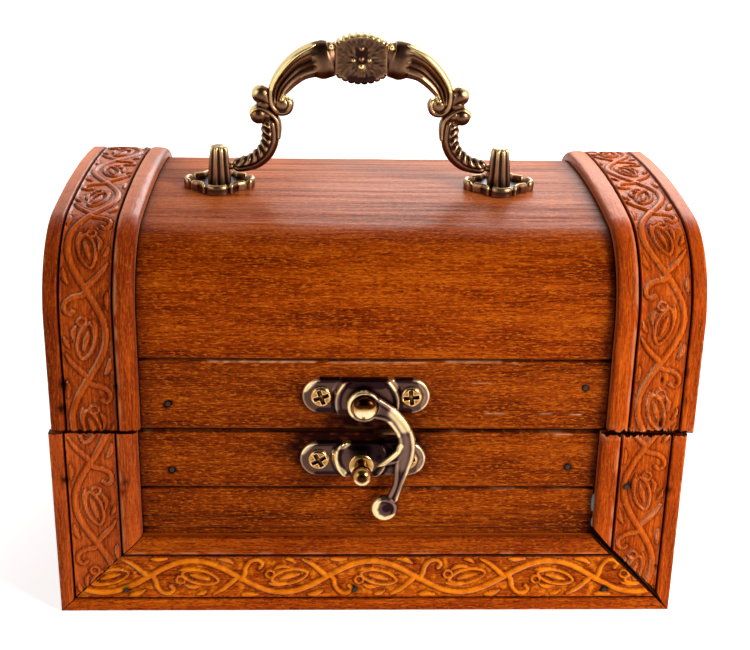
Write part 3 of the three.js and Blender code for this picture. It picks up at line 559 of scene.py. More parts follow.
class Board:
    """A plain board drawn along its grain and across it; h is 0 on its face and negative inside.

    cracks are (across, start, end, depth), scratches (start, end, across), nails (along, across), and the
    dark stains and painted shadows as for spots. A painted shade lies just above the height under, where a
    band that covers the foot ends.
    """

    def __init__(self, place, span, rise, seed, under=0, thickness=WALL):
        self.place = place
        self.span = span
        self.rise = rise
        self.seed = seed
        self.under = under
        self.thickness = thickness
        self.cracks, self.stains, self.scratches, self.nails = [], [], [], []

    def surface(self, along, across):
        """Raised grain, rounded edges and cracks, with their shade and pale wear."""
        seed = self.seed
        relief = 0.04 * noise(along * 0.06, across * 2.6, seed)
        relief += 0.03 * noise(along * 0.15, across * 6, seed + 1)
        ragged = noise(along * 0.9, across * 1.5, seed + 4)
        from_edge = np.minimum(across, self.rise - across)
        from_band = np.clip(np.minimum(along, self.span - along) - INNER_GROOVE, 0, None)
        relief -= 0.4 * np.clip(1 - from_edge / 0.55, 0, 1) ** 2
        # Painted shadow beside each band, and painted shade at the board's edges in the seams
        shade_and_stain = np.exp(-from_band / 0.3) + BAND_SHADOW * np.exp(-from_band / 2.5)
        shade_and_stain += 0.7 * (1 - smooth(0.0, 0.45, from_edge))
        if self.under:
            shade_and_stain += 0.4 * np.exp(-np.clip(across - self.under, 0, None) / 0.9)
        for at, start, end, depth in self.cracks:
            wander = at + 0.25 * noise(along * 0.05, np.full_like(along, at), seed + 2)
            line = np.clip(1 - np.abs(across - wander) / 0.3, 0, 1)
            line *= smooth(start - 6, start, along) * smooth(end + 6, end, along)
            relief -= depth * line
            shade_and_stain += 0.55 * line
        patches = smooth(0.45, 0.8, noise(along * 0.3, across * 0.1, seed + 3))
        wear_and_highlight = 0.15 * smooth(0.4, 0.2, from_edge) * patches
        for start, end, at in self.scratches:
            inside = smooth(start - 0.6, start + 0.6, along) * smooth(end + 0.6, end - 0.6, along)
            wear_and_highlight += inside * np.clip(1 - np.abs(across - at) / 0.26, 0, 1) * (0.7 + 0.5 * ragged)
        # Dark stains and painted shadows
        shade_and_stain += spots(along, across, self.stains) * (1 + 0.4 * ragged)
        for at, height in self.nails:
            from_nail = np.hypot(along - at, across - height)
            relief -= 0.25 * smooth(1.1, 0.8, from_nail)
            shade_and_stain += smooth(1.3, 0.7, from_nail + 0.35 * ragged)
        return relief, np.clip(shade_and_stain, 0, 1), np.clip(wear_and_highlight, 0, 1)

    def build(self, name, body, material, replaces, fine=0.3):
        """Makes the piece, its face in columns about fine apart and its back in coarser ones."""
        edge_rows = [0.12, 0.3, self.rise - 0.3, self.rise - 0.12, self.rise]
        columns = np.unique(np.concatenate([np.arange(0, self.rise, fine), edge_rows]))
        rows = np.linspace(0, self.span, int(self.span / ROW_STEP))
        along, across = np.meshgrid(rows, columns, indexing="ij")
        relief, shade_and_stain, wear_and_highlight = self.surface(along, across)
        back_along, back_across = np.meshgrid(rows, np.append(columns[:0:-8], 0), indexing="ij")
        nothing = np.zeros_like(back_along)
        top = self.place(along, across, relief)
        back = self.place(back_along, back_across, nothing - self.thickness)

        def joined(outside, inside=nothing):
            return np.concatenate([outside, inside], axis=1).ravel()

        grain = np.stack([joined(along, back_along), joined(across, back_across), joined(relief)], -1)
        attributes = {"gild": joined(0 * along), "shade_and_stain": joined(shade_and_stain), "wear_and_highlight": joined(wear_and_highlight), "grain": grain}
        piece(name, skin(np.concatenate([top, back], axis=1)), material, body, replaces, attributes)


def add_boards(materials):
    half = BASE_HALF - SIDE_INSET - WALL
    lid_half = LID_HALF - SIDE_INSET - WALL
    foot = RAIL_HEIGHT + PLANK_GAP
    upper_foot = PLANK_JOINT + PLANK_GAP / 2

    def base_face(z0):
        return lambda a, c, h: np.stack([a - half, -FACE_Y - h, z0 + c], -1)

    def rail_face(a, c, h):
        return np.stack([LID_SHIFT + a - lid_half, -FACE_Y - h, LID_FOOT - RAIL_DROP + c], -1)

    def panel_face(a, c, h):
        return lid_point(a - lid_half, foot + c, PANEL_DROP - h)

    upper = Board(base_face(upper_foot), 2 * half, BASE_TOP - PLANK_DROP - upper_foot, 31)
    # Painted shadow round and between the latch plates, with dark staining
    upper.stains = [(half - 3, 12, 15, 4.6, 1.1), (half - 13, 7.5, 5, 6, 0.8), (half + 9, 8, 4, 5, 0.8)]
    upper.nails = [(half - 43.6, 35 - upper_foot), (half + 44.2, 35.8 - upper_foot)]
    upper.scratches = [(half + 40.8, half + 44.3, upper.rise - 0.5), (half + 3, half + 8, upper.rise - 0.4)]
    upper.build("look_upper_plank", "base", materials["board"], ["base_front_upper_plank"])

    lower = Board(base_face(0), 2 * half, PLANK_JOINT - PLANK_GAP / 2, 37, under=BAND_WIDTH)
    lower.cracks = [(23.5, 14, 120, 0.25), (22.6, 20, 70, 0.2), (21.7, 60, 118, 0.2), (20.4, 12, 118, 0.25)]
    lower.build("look_lower_plank", "base", materials["board"], ["base_front_lower_plank"])

    rail = Board(rail_face, 2 * lid_half, RAIL_HEIGHT + RAIL_DROP, 41)
    # Painted shadow round the latch plate and along the rail's foot above the catch, with dark staining
    rail.stains = [(lid_half - 2, 8, 16, 6, 0.5), (lid_half - 2, 1, 13, 3, 0.9)]
    rail.nails = [(lid_half - 44.9, 5.5 + RAIL_DROP), (lid_half + 45.8, 9.6 + RAIL_DROP)]
    scratches = ((-35, -12, 61), (-9, 12, 60.9), (16, 28, 61.1), (30.3, 31.8, 60.9), (25, 29.5, 48.9),
                 (37, 39.8, 48.9), (43.8, 46.4, 48.7), (22, 26, 56.2))
    rail.scratches = [(lid_half + a - LID_SHIFT, lid_half + b - LID_SHIFT, z - LID_FOOT + RAIL_DROP)
                      for a, b, z in scratches]
    rail.build("look_front_rail", "lid", materials["board"], ["lid_front_rail"])

    panel = Board(panel_face, 2 * lid_half, 2 * (HALF_ARCH - foot), 43, thickness=PANEL_THICKNESS)
    panel.build("look_top_panel", "lid", materials["panel"], ["lid_top_panel"], fine=0.5)


# Hardware: smooth forms swept along curves, plates raised from outlines, and turned parts


def sweep(stations, sides=28, relief=None, step=0.2, flat_start=False):
    """A round-ended sweep in the plane of x and z, from stations of x, z, half width and half depth.

    relief(run, angle) adds to both halves; at angle 0 the surface faces left of the way the sweep goes.
    """
    s = curve_through(stations, step)
    along = np.gradient(s[:, :2], axis=0)
    along /= np.linalg.norm(along, axis=1)[:, None]
    run = np.concatenate([[0], np.cumsum(np.hypot(*np.diff(s[:, :2], axis=0).T))])
    start = np.ones_like(run) if flat_start else run / s[0, 2]
    ends = np.minimum(start, (run[-1] - run) / s[-1, 2])
    cap = np.sqrt(1 - np.clip(1 - ends, 0, 0.99) ** 2)[:, None]
    angle = around(sides)
    lift = relief(run[:, None], angle) if relief else 0
    across = (s[:, 2:3] + lift) * cap * np.cos(angle)
    y = (s[:, 3:4] + lift) * cap * np.sin(angle)
    return skin(np.stack([s[:, 0:1] - along[:, 1:2] * across, y, s[:, 1:2] + along[:, 0:1] * across], -1))


def raised(outline, front, back, bounds, step=0.2):
    """A plate standing out of the front. outline(x, z) is the distance inside its edge.

    front(x, z, d) and back(x, z, d) are how far its two faces stand out, and bounds hold all of it.
    """
    low_x, high_x, low_z, high_z = bounds
    x, z = np.meshgrid(np.arange(low_x, high_x, step), np.arange(low_z, high_z, step), indexing="ij")
    inside = outline(x, z)
    slope_x, slope_z = np.gradient(inside, step)
    outside = np.minimum(inside, 0)
    x, z, inside = x - outside * slope_x, z - outside * slope_z, np.maximum(inside, 0)
    near = (outline(x, z) > -0.5 * step) & (outside > -1.5 * step)
    i, j = np.nonzero(near[:-1, :-1] & near[1:, :-1] & near[1:, 1:] & near[:-1, 1:])
    columns = x.shape[1]
    corner = i * columns + j
    quads = np.stack([corner, corner + columns, corner + columns + 1, corner + 1], -1)
    sheets = []
    for face in (front, back):
        points = np.stack([x, -face(x, z, inside), z], -1).reshape(-1, 3)
        used, index = np.unique(quads, return_inverse=True)
        sheets.append((points[used], [tuple(q) for q in index.reshape(-1, 4).tolist()]))
    return merged([sheets[0], (sheets[1][0], [f[::-1] for f in sheets[1][1]])])


def flat_back(x, z, d):
    return np.zeros_like(x)


def rounded(d, radius):
    """Height of a quarter-round edge at a distance inside it, as a share of its radius."""
    return np.sqrt(1 - np.clip(1 - d / radius, 0, 1) ** 2)


def distance_to(path, points):
    """Distance of points from a line through the places on a path."""
    best = np.full(len(points), np.inf)
    for a, b in zip(np.array(path[:-1]), np.array(path[1:])):
        share = np.clip((points - a) @ (b - a) / np.dot(b - a, b - a), 0, 1)
        best = np.minimum(best, np.linalg.norm(points - a - share[:, None] * (b - a), axis=1))
    return best


SHARPEST = 4
FLAT_POLISH = 0.15


def polish_with_painted_light(mesh, painted_light, reach=3):
    """Polish at each point of a mesh: high on outward edges, low in hollows.

    Each stroke given as (path, radius, amount) adds a painted highlight, or painted shade where the amount is
    negative.
    """
    count = len(mesh.vertices)
    points, normals, edges = np.zeros(count * 3), np.zeros(count * 3), np.zeros(len(mesh.edges) * 2, int)
    mesh.vertices.foreach_get("co", points)
    mesh.vertex_normals.foreach_get("vector", normals)
    mesh.edges.foreach_get("vertices", edges)
    points, normals = points.reshape(-1, 3) / MM, normals.reshape(-1, 3)
    a, b = edges.reshape(-1, 2).T
    step = points[b] - points[a]
    squared = np.maximum(np.einsum("ij,ij->i", step, step), 0.0004)
    neighbours = np.maximum(np.bincount(a, minlength=count) + np.bincount(b, minlength=count), 1)
    bend_a = -np.einsum("ij,ij->i", step, normals[a]) / squared
    bend_b = np.einsum("ij,ij->i", step, normals[b]) / squared
    bend = (np.bincount(a, bend_a, count) + np.bincount(b, bend_b, count)) / neighbours
    bend = np.clip(bend, -SHARPEST, SHARPEST)
    for _ in range(reach):
        spread = np.bincount(a, bend[b], count) + np.bincount(b, bend[a], count)
        bend = 0.5 * bend + 0.5 * spread / neighbours
    polish_and_painted_light = FLAT_POLISH + 0.6 * bend
    # Painted highlights, or painted shade where the amount is negative
    for path, radius, amount in painted_light:
        polish_and_painted_light += amount * smooth(radius, 0.35 * radius, distance_to(path, points[:, [0, 2]]))
    return np.clip(polish_and_painted_light, 0, 1)


def metalwork(name, parts, origin, material, body, replaces, painted_light=()):
    """Joins metal parts drawn about an origin into one object."""
    points, faces = merged(parts)
    x0, _, z0 = origin
    placed = [([(x0 + x, z0 + z) for x, z in path], radius, amount) for path, radius, amount in painted_light]
    solid = (points + np.array(origin), faces)
    piece(name, solid, material, body, replaces, sharp=50, painted_light=placed)


def both_sides(parts):
    """The parts and their mirror images across x = 0."""
    mirrored = [(points * np.array([-1, 1, 1]), [f[::-1] for f in faces]) for points, faces in parts]
    return parts + mirrored


# Handle, drawn about the middle of the bail's pivots

HANDLE = (-2.1, -3)
HANDLE_SEAT = 88.64
PIVOT_HEIGHT = 4.85
POST_SPACING = 65.2
MEDALLION_HEIGHT = 25.3
MEDALLION_REACH = (8, 5.88)
MEDALLION_SIDE = 6.3
TEETH = 30
MEDALLION_BEADS = [(0, 2.4, 0.75), (0, 0.1, 0.8), (-1.8, -0.2, 0.6), (1.8, -0.2, 0.6), (0, -1.6, 0.9)]
POST_FLUTES = 8


def wing():
    """The fluted horn between the medallion's collar and the scroll."""

    def flutes(run, angle):
        v = np.cos(angle)
        grown = smooth(4.4, 6.4, run) * (1 - smooth(17, 20, run))
        across = smooth(0.75, 0.5, v) * smooth(-0.98, -0.75, v)
        return grown * across * 0.34 * (np.cos(2 * math.pi * (v + 0.12) / 0.46) - 0.4)

    stations = [(5.2, 25.2, 3.4, 1.1), (6.2, 25.2, 3.7, 1.7), (7.2, 25, 4.1, 2.3), (8.6, 24.9, 4.45, 2.45),
                (11.1, 24.65, 3.95, 2.35), (13.8, 23.45, 3.45, 2.25), (15.9, 21.65, 2.95, 2.1),
                (17.5, 19.85, 2.6, 1.9), (18.6, 18, 2.2, 1.75), (19.1, 15.8, 1.5, 1.5),
                (19.2, 14.2, 0.9, 1.2)]
    return sweep(stations, 56, flutes, flat_start=True)


def scroll():
    """The bright rim that follows the wing's outer edge and curls in under it."""
    stations = [(9.3, 28.8, 0.12, 0.6), (11.3, 27.95, 0.5, 1.7), (14.5, 26.1, 0.9, 2.1),
                (17, 23.8, 0.95, 2.1), (18.9, 21.3, 0.9, 2), (20.1, 19, 0.8, 1.9), (20.5, 16.8, 0.8, 1.85),
                (20.1, 14.3, 0.85, 1.8), (18.6, 12.9, 0.9, 1.8), (16.7, 13.2, 0.9, 1.8),
                (16, 14.9, 0.8, 1.75), (16.7, 16.3, 0.6, 1.6)]
    return sweep(stations, 24)


def lobes():
    """The two rounded leaves outside the scroll and the balls that fill them."""
    upper = [(20.9, 14.6, 0.5, 1.2), (21.7, 15.8, 1.4, 1.7), (22.6, 16.9, 2.1, 1.85), (23, 18, 1.5, 1.6)]
    curl = [(18.8, 6.4, 0.5, 1.6), (18.8, 9.4, 0.8, 1.8), (19.4, 11.4, 0.8, 1.8), (21.4, 13.2, 0.75, 1.75),
            (23.3, 13.9, 0.75, 1.7), (24.8, 13.1, 0.6, 1.6), (25.1, 11.8, 0.4, 1.3)]
    return [sweep(upper), sweep(curl, 24), ball((22.75, 0, 16.9), 2.2, (1, 0.85, 1)),
            ball((23.3, 0, 12.05), 2.05, (1, 0.8, 1)), ball((17.9, 0, 14.6), 2.1, (1, 0.7, 1)),
            ball((18, 0, 15.9), 0.95, (1, 1.85, 1)), ball((22.1, 0, 14.7), 1.8, (1, 0.8, 1)),
            ball((21.4, 0, 12.3), 1.6, (1, 0.85, 1))]


def rope_arm():
    """The roped arm from the lobes down to the pivot."""

    def ribs(run, angle):
        v = np.cos(angle)
        outer = smooth(-0.3, 0.05, v) * smooth(0.2, 1.5, run)
        twist = np.cos(2 * math.pi * (run / 1.9 + 0.75 * v))
        groove = np.exp(-((v + 0.25) / 0.12) ** 2)
        return 0.15 * outer * (twist - 0.4) - 0.3 * groove

    stations = [(21.3, 11.4, 1.6, 1.6), (20.85, 9.2, 2, 1.75), (20.75, 6.6, 2.05, 1.8),
                (21.35, 4.6, 2.1, 1.8), (22.5, 2.9, 2.1, 1.8), (24.5, 1.3, 2, 1.75),
                (27.2, 0.5, 1.8, 1.7), (29.6, 0.2, 1.65, 1.6)]
    return sweep(stations, 48, ribs, 0.12)


def medallion():
    """A pebbled oval with straight sides, a beaded rim and a cluster of beads."""
    turn = around(360)
    reach_x, reach_z = MEDALLION_REACH
    outline = np.stack([reach_x * np.cos(turn), reach_z * np.sin(turn)])
    outline *= np.minimum(1, MEDALLION_SIDE / np.maximum(np.abs(outline[0]), 0.1))
    on_side = np.abs(outline[0]) > MEDALLION_SIDE - 0.1
    hollow = (1 - np.abs(np.cos(0.5 * TEETH * turn)) ** 0.45) * (1 - on_side)
    profile = [(share, 1.9) for share in np.linspace(0.05, 0.86, 17)]
    profile += [(0.9, 1.84), (0.94, 1.66), (0.97, 1.4), (0.99, 1.1), (1, 0.7)]
    rings = []
    for facing in (-1, 1):
        for share, depth in profile[::-facing]:
            toothed = smooth(0.86, 0.96, share) * hollow
            x, z = outline * share * (1 - 0.075 * toothed)
            pebbles = 0.05 * noise(x * 1.7, z * 1.7, 5) * smooth(0.9, 0.8, share)
            y = facing * (depth - 0.35 * toothed * (depth > 1.5) + pebbles)
            rings.append(np.stack([x, y, z + MEDALLION_HEIGHT], -1))
    beads = [ball((x, facing * 1.75, MEDALLION_HEIGHT + z), radius, sides=16)
             for x, z, radius in MEDALLION_BEADS for facing in (-1, 1)]
    return [skin(np.array(rings[::-1])), *beads]


def collar():
    stations = [(6.35, 25.15, 3.8, 2.4), (6.7, 25.15, 4.05, 2.8), (7.05, 25.15, 3.9, 2.4)]
    beads = [ball((6.8, y, 28), 0.65) for y in (-2.35, 2.35)]
    return [sweep(stations, 40, step=0.06, flat_start=True), *beads]


# Painted highlights, and painted shade where the amount is negative: strokes of (x, z), their radius and how
# much they add

BAIL_MIDDLE_PAINTED_LIGHT = [([(0, 25.2), (0, 27.2)], 1.6, -0.2), ([(0, 23.6), (0.3, 23.6)], 0.9, 0.8)]
BAIL_SIDE_PAINTED_LIGHT = [
    ([(11.8, 28), (14.6, 26.6), (17.3, 24.4), (19.3, 21.8), (20.6, 19)], 1.3, 0.6),
    ([(9, 24.8), (13.8, 23.4), (17.5, 19.8), (18.8, 16.5)], 4, 0.07),
    ([(22.4, 16.6), (23, 12.4)], 2.4, -0.1), ([(23.6, 18.6), (24.7, 17.5)], 1.2, 0.6),
    ([(24.4, 13.9), (25.2, 12.8)], 1, 0.6), ([(16.4, 15.6), (17.6, 16.6)], 1, 0.4),
    ([(7, 22), (8.4, 27)], 2.4, -0.1), ([(6.8, 27.9), (6.8, 28.2)], 0.9, 0.6),
    ([(0, 31.2), (2.4, 30.9), (4.8, 30)], 1.2, 0.7), ([(0, 20), (2.4, 20.6)], 1.4, -0.3)]
ROSETTE_PAINTED_LIGHT = [([(-9, 2), (9, 2)], 4, 0.1), ([(-4.5, 0.8), (4.5, 0.8)], 0.7, -0.4)]
POST_PAINTED_LIGHT = [([(-2, 9.2), (2, 9.2)], 1.5, 0.2)]


def add_handle(material):
    pins = sweep([(29, 0, 0.9, 0.9), (POST_SPACING / 2, 0, 0.9, 0.9)], 12)
    arms = [wing(), scroll(), *lobes(), rope_arm(), *collar(), pins]
    mirrored = [([(-x, z) for x, z in path], radius, amount) for path, radius, amount in BAIL_SIDE_PAINTED_LIGHT]
    metalwork("look_bail", both_sides(arms) + medallion(), (*HANDLE, HANDLE_SEAT + PIVOT_HEIGHT), material,
              "handle", ["handle_bail"], BAIL_SIDE_PAINTED_LIGHT + BAIL_MIDDLE_PAINTED_LIGHT + mirrored)
    for side, name in ((-1, "left"), (1, "right")):
        place = (HANDLE[0] + side * POST_SPACING / 2, HANDLE[1], HANDLE_SEAT)
        metalwork(f"look_rosette_{name}", [rosette()], place, material, "lid",
                  [f"handle_rosette_{name}"], ROSETTE_PAINTED_LIGHT)
        metalwork(f"look_post_{name}", [post()], place, material, "lid", [f"handle_post_{name}"],
                  POST_PAINTED_LIGHT)


def post():
    """A fluted post with a rounded top, from levels of height, radius and depth of its flutes."""
    angle = around(96)
    flute = 0.5 + 0.5 * np.cos(POST_FLUTES * angle)
    levels = [(0.9, 2.8, 1), (3, 2.72, 1), (5, 2.55, 1), (7, 2.35, 1), (8.3, 2.2, 1), (8.9, 2.1, 0.9),
              (9.3, 1.95, 0.6), (9.6, 1.7, 0.3), (9.72, 1.2, 0.1), (9.75, 0.6, 0)]
    return skin(np.array([ring(radius - 0.5 * depth * flute**1.5, angle, z) for z, radius, depth in levels]))


def rosette():
    """A four-lobed wall with notches beside each lobe, round a shallow well."""
    angle = around(288)
    reach = 6.4 + 1.9 * np.abs(np.cos(2 * angle)) ** 1.5
    from_axis = np.abs((angle + math.pi / 4) % (math.pi / 2) - math.pi / 4)
    notch = np.exp(-((from_axis - math.radians(22)) / 0.06) ** 2)
    wall = [(0.1, 0), (0, 1.2), (0.1, 1.9), (0.35, 2.25), (0.65, 2.3), (0.95, 2.2), (1.2, 1.9), (1.35, 1.2),
            (1.5, 0.9)]
    rings = [ring(reach - inset - 0.7 * notch * (inset < 0.9), angle, height - 1.3 * notch * (height > 1.3))
             for inset, height in wall]
    return skin(np.array([*rings, ring(2.5, angle, 0.85)]))


# Latch, each plate drawn about its own centre

LATCH = (-1, 53.4)
LATCH_PIVOT = (-1.4, 52.1)
CATCH = (-1.5, 38.2)
STUD = (-1.95, 38.7)
PLATE_SPAN = 19.5
PLATE_RADIUS = 4.2
PLATE_THICKNESS = 0.9
BOSS_HEIGHT = 1.2
SCREW_RADIUS = 2.4
HOOK_BACK, HOOK_THICKNESS = 3.1, 0.9
HOOK_EYE, HOOK_KNOB = (-0.15, 0, 3.75), (4.75, -24.75, 3.05)


def in_disc(x, z, disc):
    """Distance inside a disc of x, z and radius."""
    return disc[2] - np.hypot(x - disc[0], z - disc[1])


def latch_plate(boss, dish):
    """A round-ended plate with a flat boss of x, z and radius, dished in its middle."""
    half = PLATE_SPAN / 2

    def outline(x, z):
        return PLATE_RADIUS - np.hypot(np.maximum(np.abs(x) - half, 0), z)

    def front(x, z, d):
        from_boss = in_disc(x, z, boss)
        rise = smooth(-0.5, 0.5, from_boss) * rounded(d, 0.5)
        upper_left = smooth(-1.5, 2, 0.25 * x + z)
        lip = 0.14 * np.exp(-((d - 0.45) / 0.25) ** 2) * smooth(5, 9, np.abs(x)) * upper_left
        bowl = dish * smooth(0.4, 1.6, from_boss)
        return PLATE_THICKNESS * rounded(d, 0.4) + (BOSS_HEIGHT - bowl) * rise + lip

    wide, high = half + PLATE_RADIUS + 0.5, PLATE_RADIUS + 0.5
    return raised(outline, front, flat_back, (-wide, wide, -high, high), 0.16)


def cross_screw(turn):
    """A domed head, 1 mm high, with a cross cut into it."""
    step = 0.12
    grid = np.arange(-SCREW_RADIUS - step, SCREW_RADIUS + step, step)

    def outline(x, z):
        return SCREW_RADIUS - np.hypot(x, z)

    def front(x, z, d):
        u = np.abs(x * math.cos(turn) + z * math.sin(turn))
        v = np.abs(z * math.cos(turn) - x * math.sin(turn))
        arm_end = smooth(0.74 * SCREW_RADIUS, 0.62 * SCREW_RADIUS, np.maximum(u, v))
        cross = smooth(0.46, 0.3, np.minimum(u, v)) * arm_end
        return (0.25 + 0.75 * rounded(d, 0.9)) * (d > 0) - 0.8 * cross

    return raised(outline, front, flat_back, (grid[0], grid[-1], grid[0], grid[-1]), step)


def hook_outline(x, z):
    """Distance inside the hook's edge, from discs set along its curves."""
    spine = curve_through([(2.2, -0.3, 2.6), (5.4, -1.9, 1.95), (8.0, -4.9, 1.9), (9.25, -8.2, 1.95),
                           (8.9, -12, 2.2), (8.4, -15.1, 1.75), (7.6, -19, 1.2), (6.6, -22.2, 1.35)], 0.3)
    barb = curve_through([(8.2, -11.7, 1.7), (6.2, -12.85, 1.1), (4.3, -13.8, 0.6), (3, -14.35, 0.22)], 0.2)
    best = np.maximum(in_disc(x, z, HOOK_EYE), in_disc(x, z, HOOK_KNOB))
    for disc in np.vstack([spine, barb]):
        best = np.maximum(best, in_disc(x, z, disc))
    return best


def hook():
    def front(x, z, d):
        knob_x, knob_z, knob_radius = HOOK_KNOB
        knob = np.clip(1 - (np.hypot(x - knob_x, z - knob_z) / knob_radius) ** 2, 0, 1)
        bowl = 0.35 * smooth(3.2, 2.4, np.hypot(x, z))
        rim = HOOK_BACK + HOOK_THICKNESS * rounded(d, 0.8)
        return rim + 0.45 * np.sqrt(knob) - bowl - 0.22 * smooth(0.7, 1.3, d)

    def back(x, z, d):
        return HOOK_BACK - 0.7 * rounded(d, 0.5)

    return raised(hook_outline, front, back, (-5, 13, -29, 5), 0.2)


def turned(profile):
    """A part turned about the way out of the front."""
    return out_front(lathe(profile, 40))


def rivet():
    return turned([(1.2, 0.5), (1.2, 4.1), (2.6, 4.15), (2.75, 4.35), (2.65, 4.7), (2.4, 5.05), (2, 5.35),
                   (1.5, 5.57), (1, 5.72), (0.4, 5.8)])


def stud():
    """A flanged stem with a ball on its end."""
    stem = [(0.7, 0.5), (0.7, 4.6), (2.3, 4.6), (2.65, 4.75), (2.65, 5.2), (2.4, 5.4), (1.5, 5.5),
            (1.35, 6.2), (1.4, 7.6)]
    ball_radius, ball_middle = 2.3, 9.6
    crown = [(ball_radius * math.cos(a), ball_middle + ball_radius * math.sin(a))
             for a in np.linspace(-0.92, 1.4, 14)]
    return turned(stem + crown)


# Painted highlights and painted shade on the latch, as for the handle

BOTH_PLATES_PAINTED_LIGHT = [([(11.5, 3.4), (13.2, 0.5), (12.4, -2.6)], 0.8, 0.3), ([(-9.5, 4.2), (-5, 4.2)], 1, -0.6)]
LATCH_PAINTED_LIGHT = [
    *BOTH_PLATES_PAINTED_LIGHT, ([(5.3, 4), (6.3, 2.4)], 0.9, 0.6), ([(-5, 4), (-6.6, 1.5)], 1, 0.3),
    ([(-13.2, 1.6), (-11.3, 3.6)], 0.9, 0.6), ([(-10, -4), (9, -4)], 1.5, -0.4),
    ([(-3, 4.2), (3, 4.2)], 2.5, -0.5), ([(6.5, 4.2), (9.5, 4.2)], 1, -0.5)]
CATCH_PAINTED_LIGHT = [
    *BOTH_PLATES_PAINTED_LIGHT, ([(-6.2, 1.8), (-6.2, 0), (-5.6, -1.8), (-4.2, -3)], 0.9, 0.9),
    ([(-4.6, 3.3), (-3.4, 4)], 1, 0.8), ([(3, 2), (6, 0)], 2.5, -0.5), ([(-2, 4.2), (3, 4.2)], 2.2, -0.5),
    ([(-13.2, 1.6), (-11.3, 3.6)], 0.8, 0.4), ([(-10, -4), (4, -4)], 1.2, -0.3),
    ([(5, 4.2), (9.5, 4.2)], 1.4, -0.6)]
HOOK_PAINTED_LIGHT = [
    ([(6.3, -1.5), (7.5, -2.9), (8.7, -5)], 1.7, 0.6),
    ([(-2.8, -1.6), (-3.7, 0.4), (-2.6, 2.6), (0, 3.6)], 1, 0.5),
    ([(2.9, -22.7), (2.2, -24.7), (2.9, -26.6), (4.8, -27.5), (7, -26.8)], 1.3, 1),
    ([(4.4, -13.1), (6.4, -11.7), (8, -9.4)], 0.9, 0.6), ([(2.6, -14.3), (4, -14.1)], 0.8, 0.6),
    ([(5.2, -24.4), (5.8, -24.2)], 1.4, -0.15), ([(10.4, -6), (11, -10), (9.8, -16)], 0.8, 0.3),
    ([(9.8, -16), (8.6, -20), (7.6, -22.6)], 0.7, 0.35), ([(9, -8), (8.6, -14)], 2, 0.14),
    ([(5.6, -3.8), (7.2, -6.6)], 0.9, 0.5)]
# The dark tops and bright undersides of the rivet and the stud are a painted reflection
RIVET_PAINTED_LIGHT = [([(-1.4, 1.7), (1.4, 1.7)], 1.6, -0.5), ([(-1.2, -1.2), (1.2, -1.2)], 1.7, 0.6)]
STUD_PAINTED_LIGHT = [([(-1.5, -1), (0, -1.9), (1.5, -1)], 1, 0.8), ([(-0.3, 0.3), (0.3, 0.3)], 1.1, -0.4)]


def add_latch(bronze, brass):
    def add(node, part, centre, material, body, painted_light, name=None):
        origin = (centre[0], -FACE_Y, centre[1])
        metalwork(name or f"look_{node}", [part], origin, material, body, [node], painted_light)

    latch_boss = (0.2, LATCH_PIVOT[1] - LATCH[1], 7.2)
    catch_boss = (STUD[0] - CATCH[0], STUD[1] - CATCH[1], 6)
    add("latch_plate", latch_plate(latch_boss, 0.35), LATCH, bronze, "lid", LATCH_PAINTED_LIGHT)
    add("catch_plate", latch_plate(catch_boss, 0.8), CATCH, bronze, "base", CATCH_PAINTED_LIGHT)
    add_screws(brass, "latch_screw", LATCH, "lid", (0.35, 0.12))
    add_screws(brass, "catch_screw", CATCH, "base", (0.5, 0.2))
    add("latch_hook", hook(), LATCH_PIVOT, bronze, "hook", HOOK_PAINTED_LIGHT, "look_hook")
    add("latch_rivet", rivet(), LATCH_PIVOT, brass, "lid", RIVET_PAINTED_LIGHT, "look_rivet")
    add("catch_stud", stud(), STUD, brass, "base", STUD_PAINTED_LIGHT, "look_stud")


def add_screws(material, name, centre, body, turns):
    """A screw near each end of a plate, each turned by its own angle."""
    for side, label, turn in ((-1, "left", turns[0]), (1, "right", turns[1])):
        place = (centre[0] + side * PLATE_SPAN / 2, -FACE_Y - PLATE_THICKNESS + 0.1, centre[1])
        node = f"{name}_{label}"
        metalwork(f"look_{node}", [cross_screw(turn)], place, material, body, [node])


def add_filler(material):
    """Two small lumps of filler beside the right band of the base."""
    lumps = [ball((50.6, -FACE_Y - 0.2, 27), 0.55, (1, 0.8, 4.2)),
             ball((50.8, -FACE_Y - 0.1, 22), 0.4, (1, 0.8, 3))]
    metalwork("look_filler", lumps, (0, 0, 0), material, "base", [])


# Materials


def srgb(colour):
    """The colour of three 8-bit screen values, as a socket takes it."""

    def channel(v):
        v /= 255
        return v / 12.92 if v <= 0.04045 else ((v + 0.055) / 1.055) ** 2.4

    return (*map(channel, colour), 1)


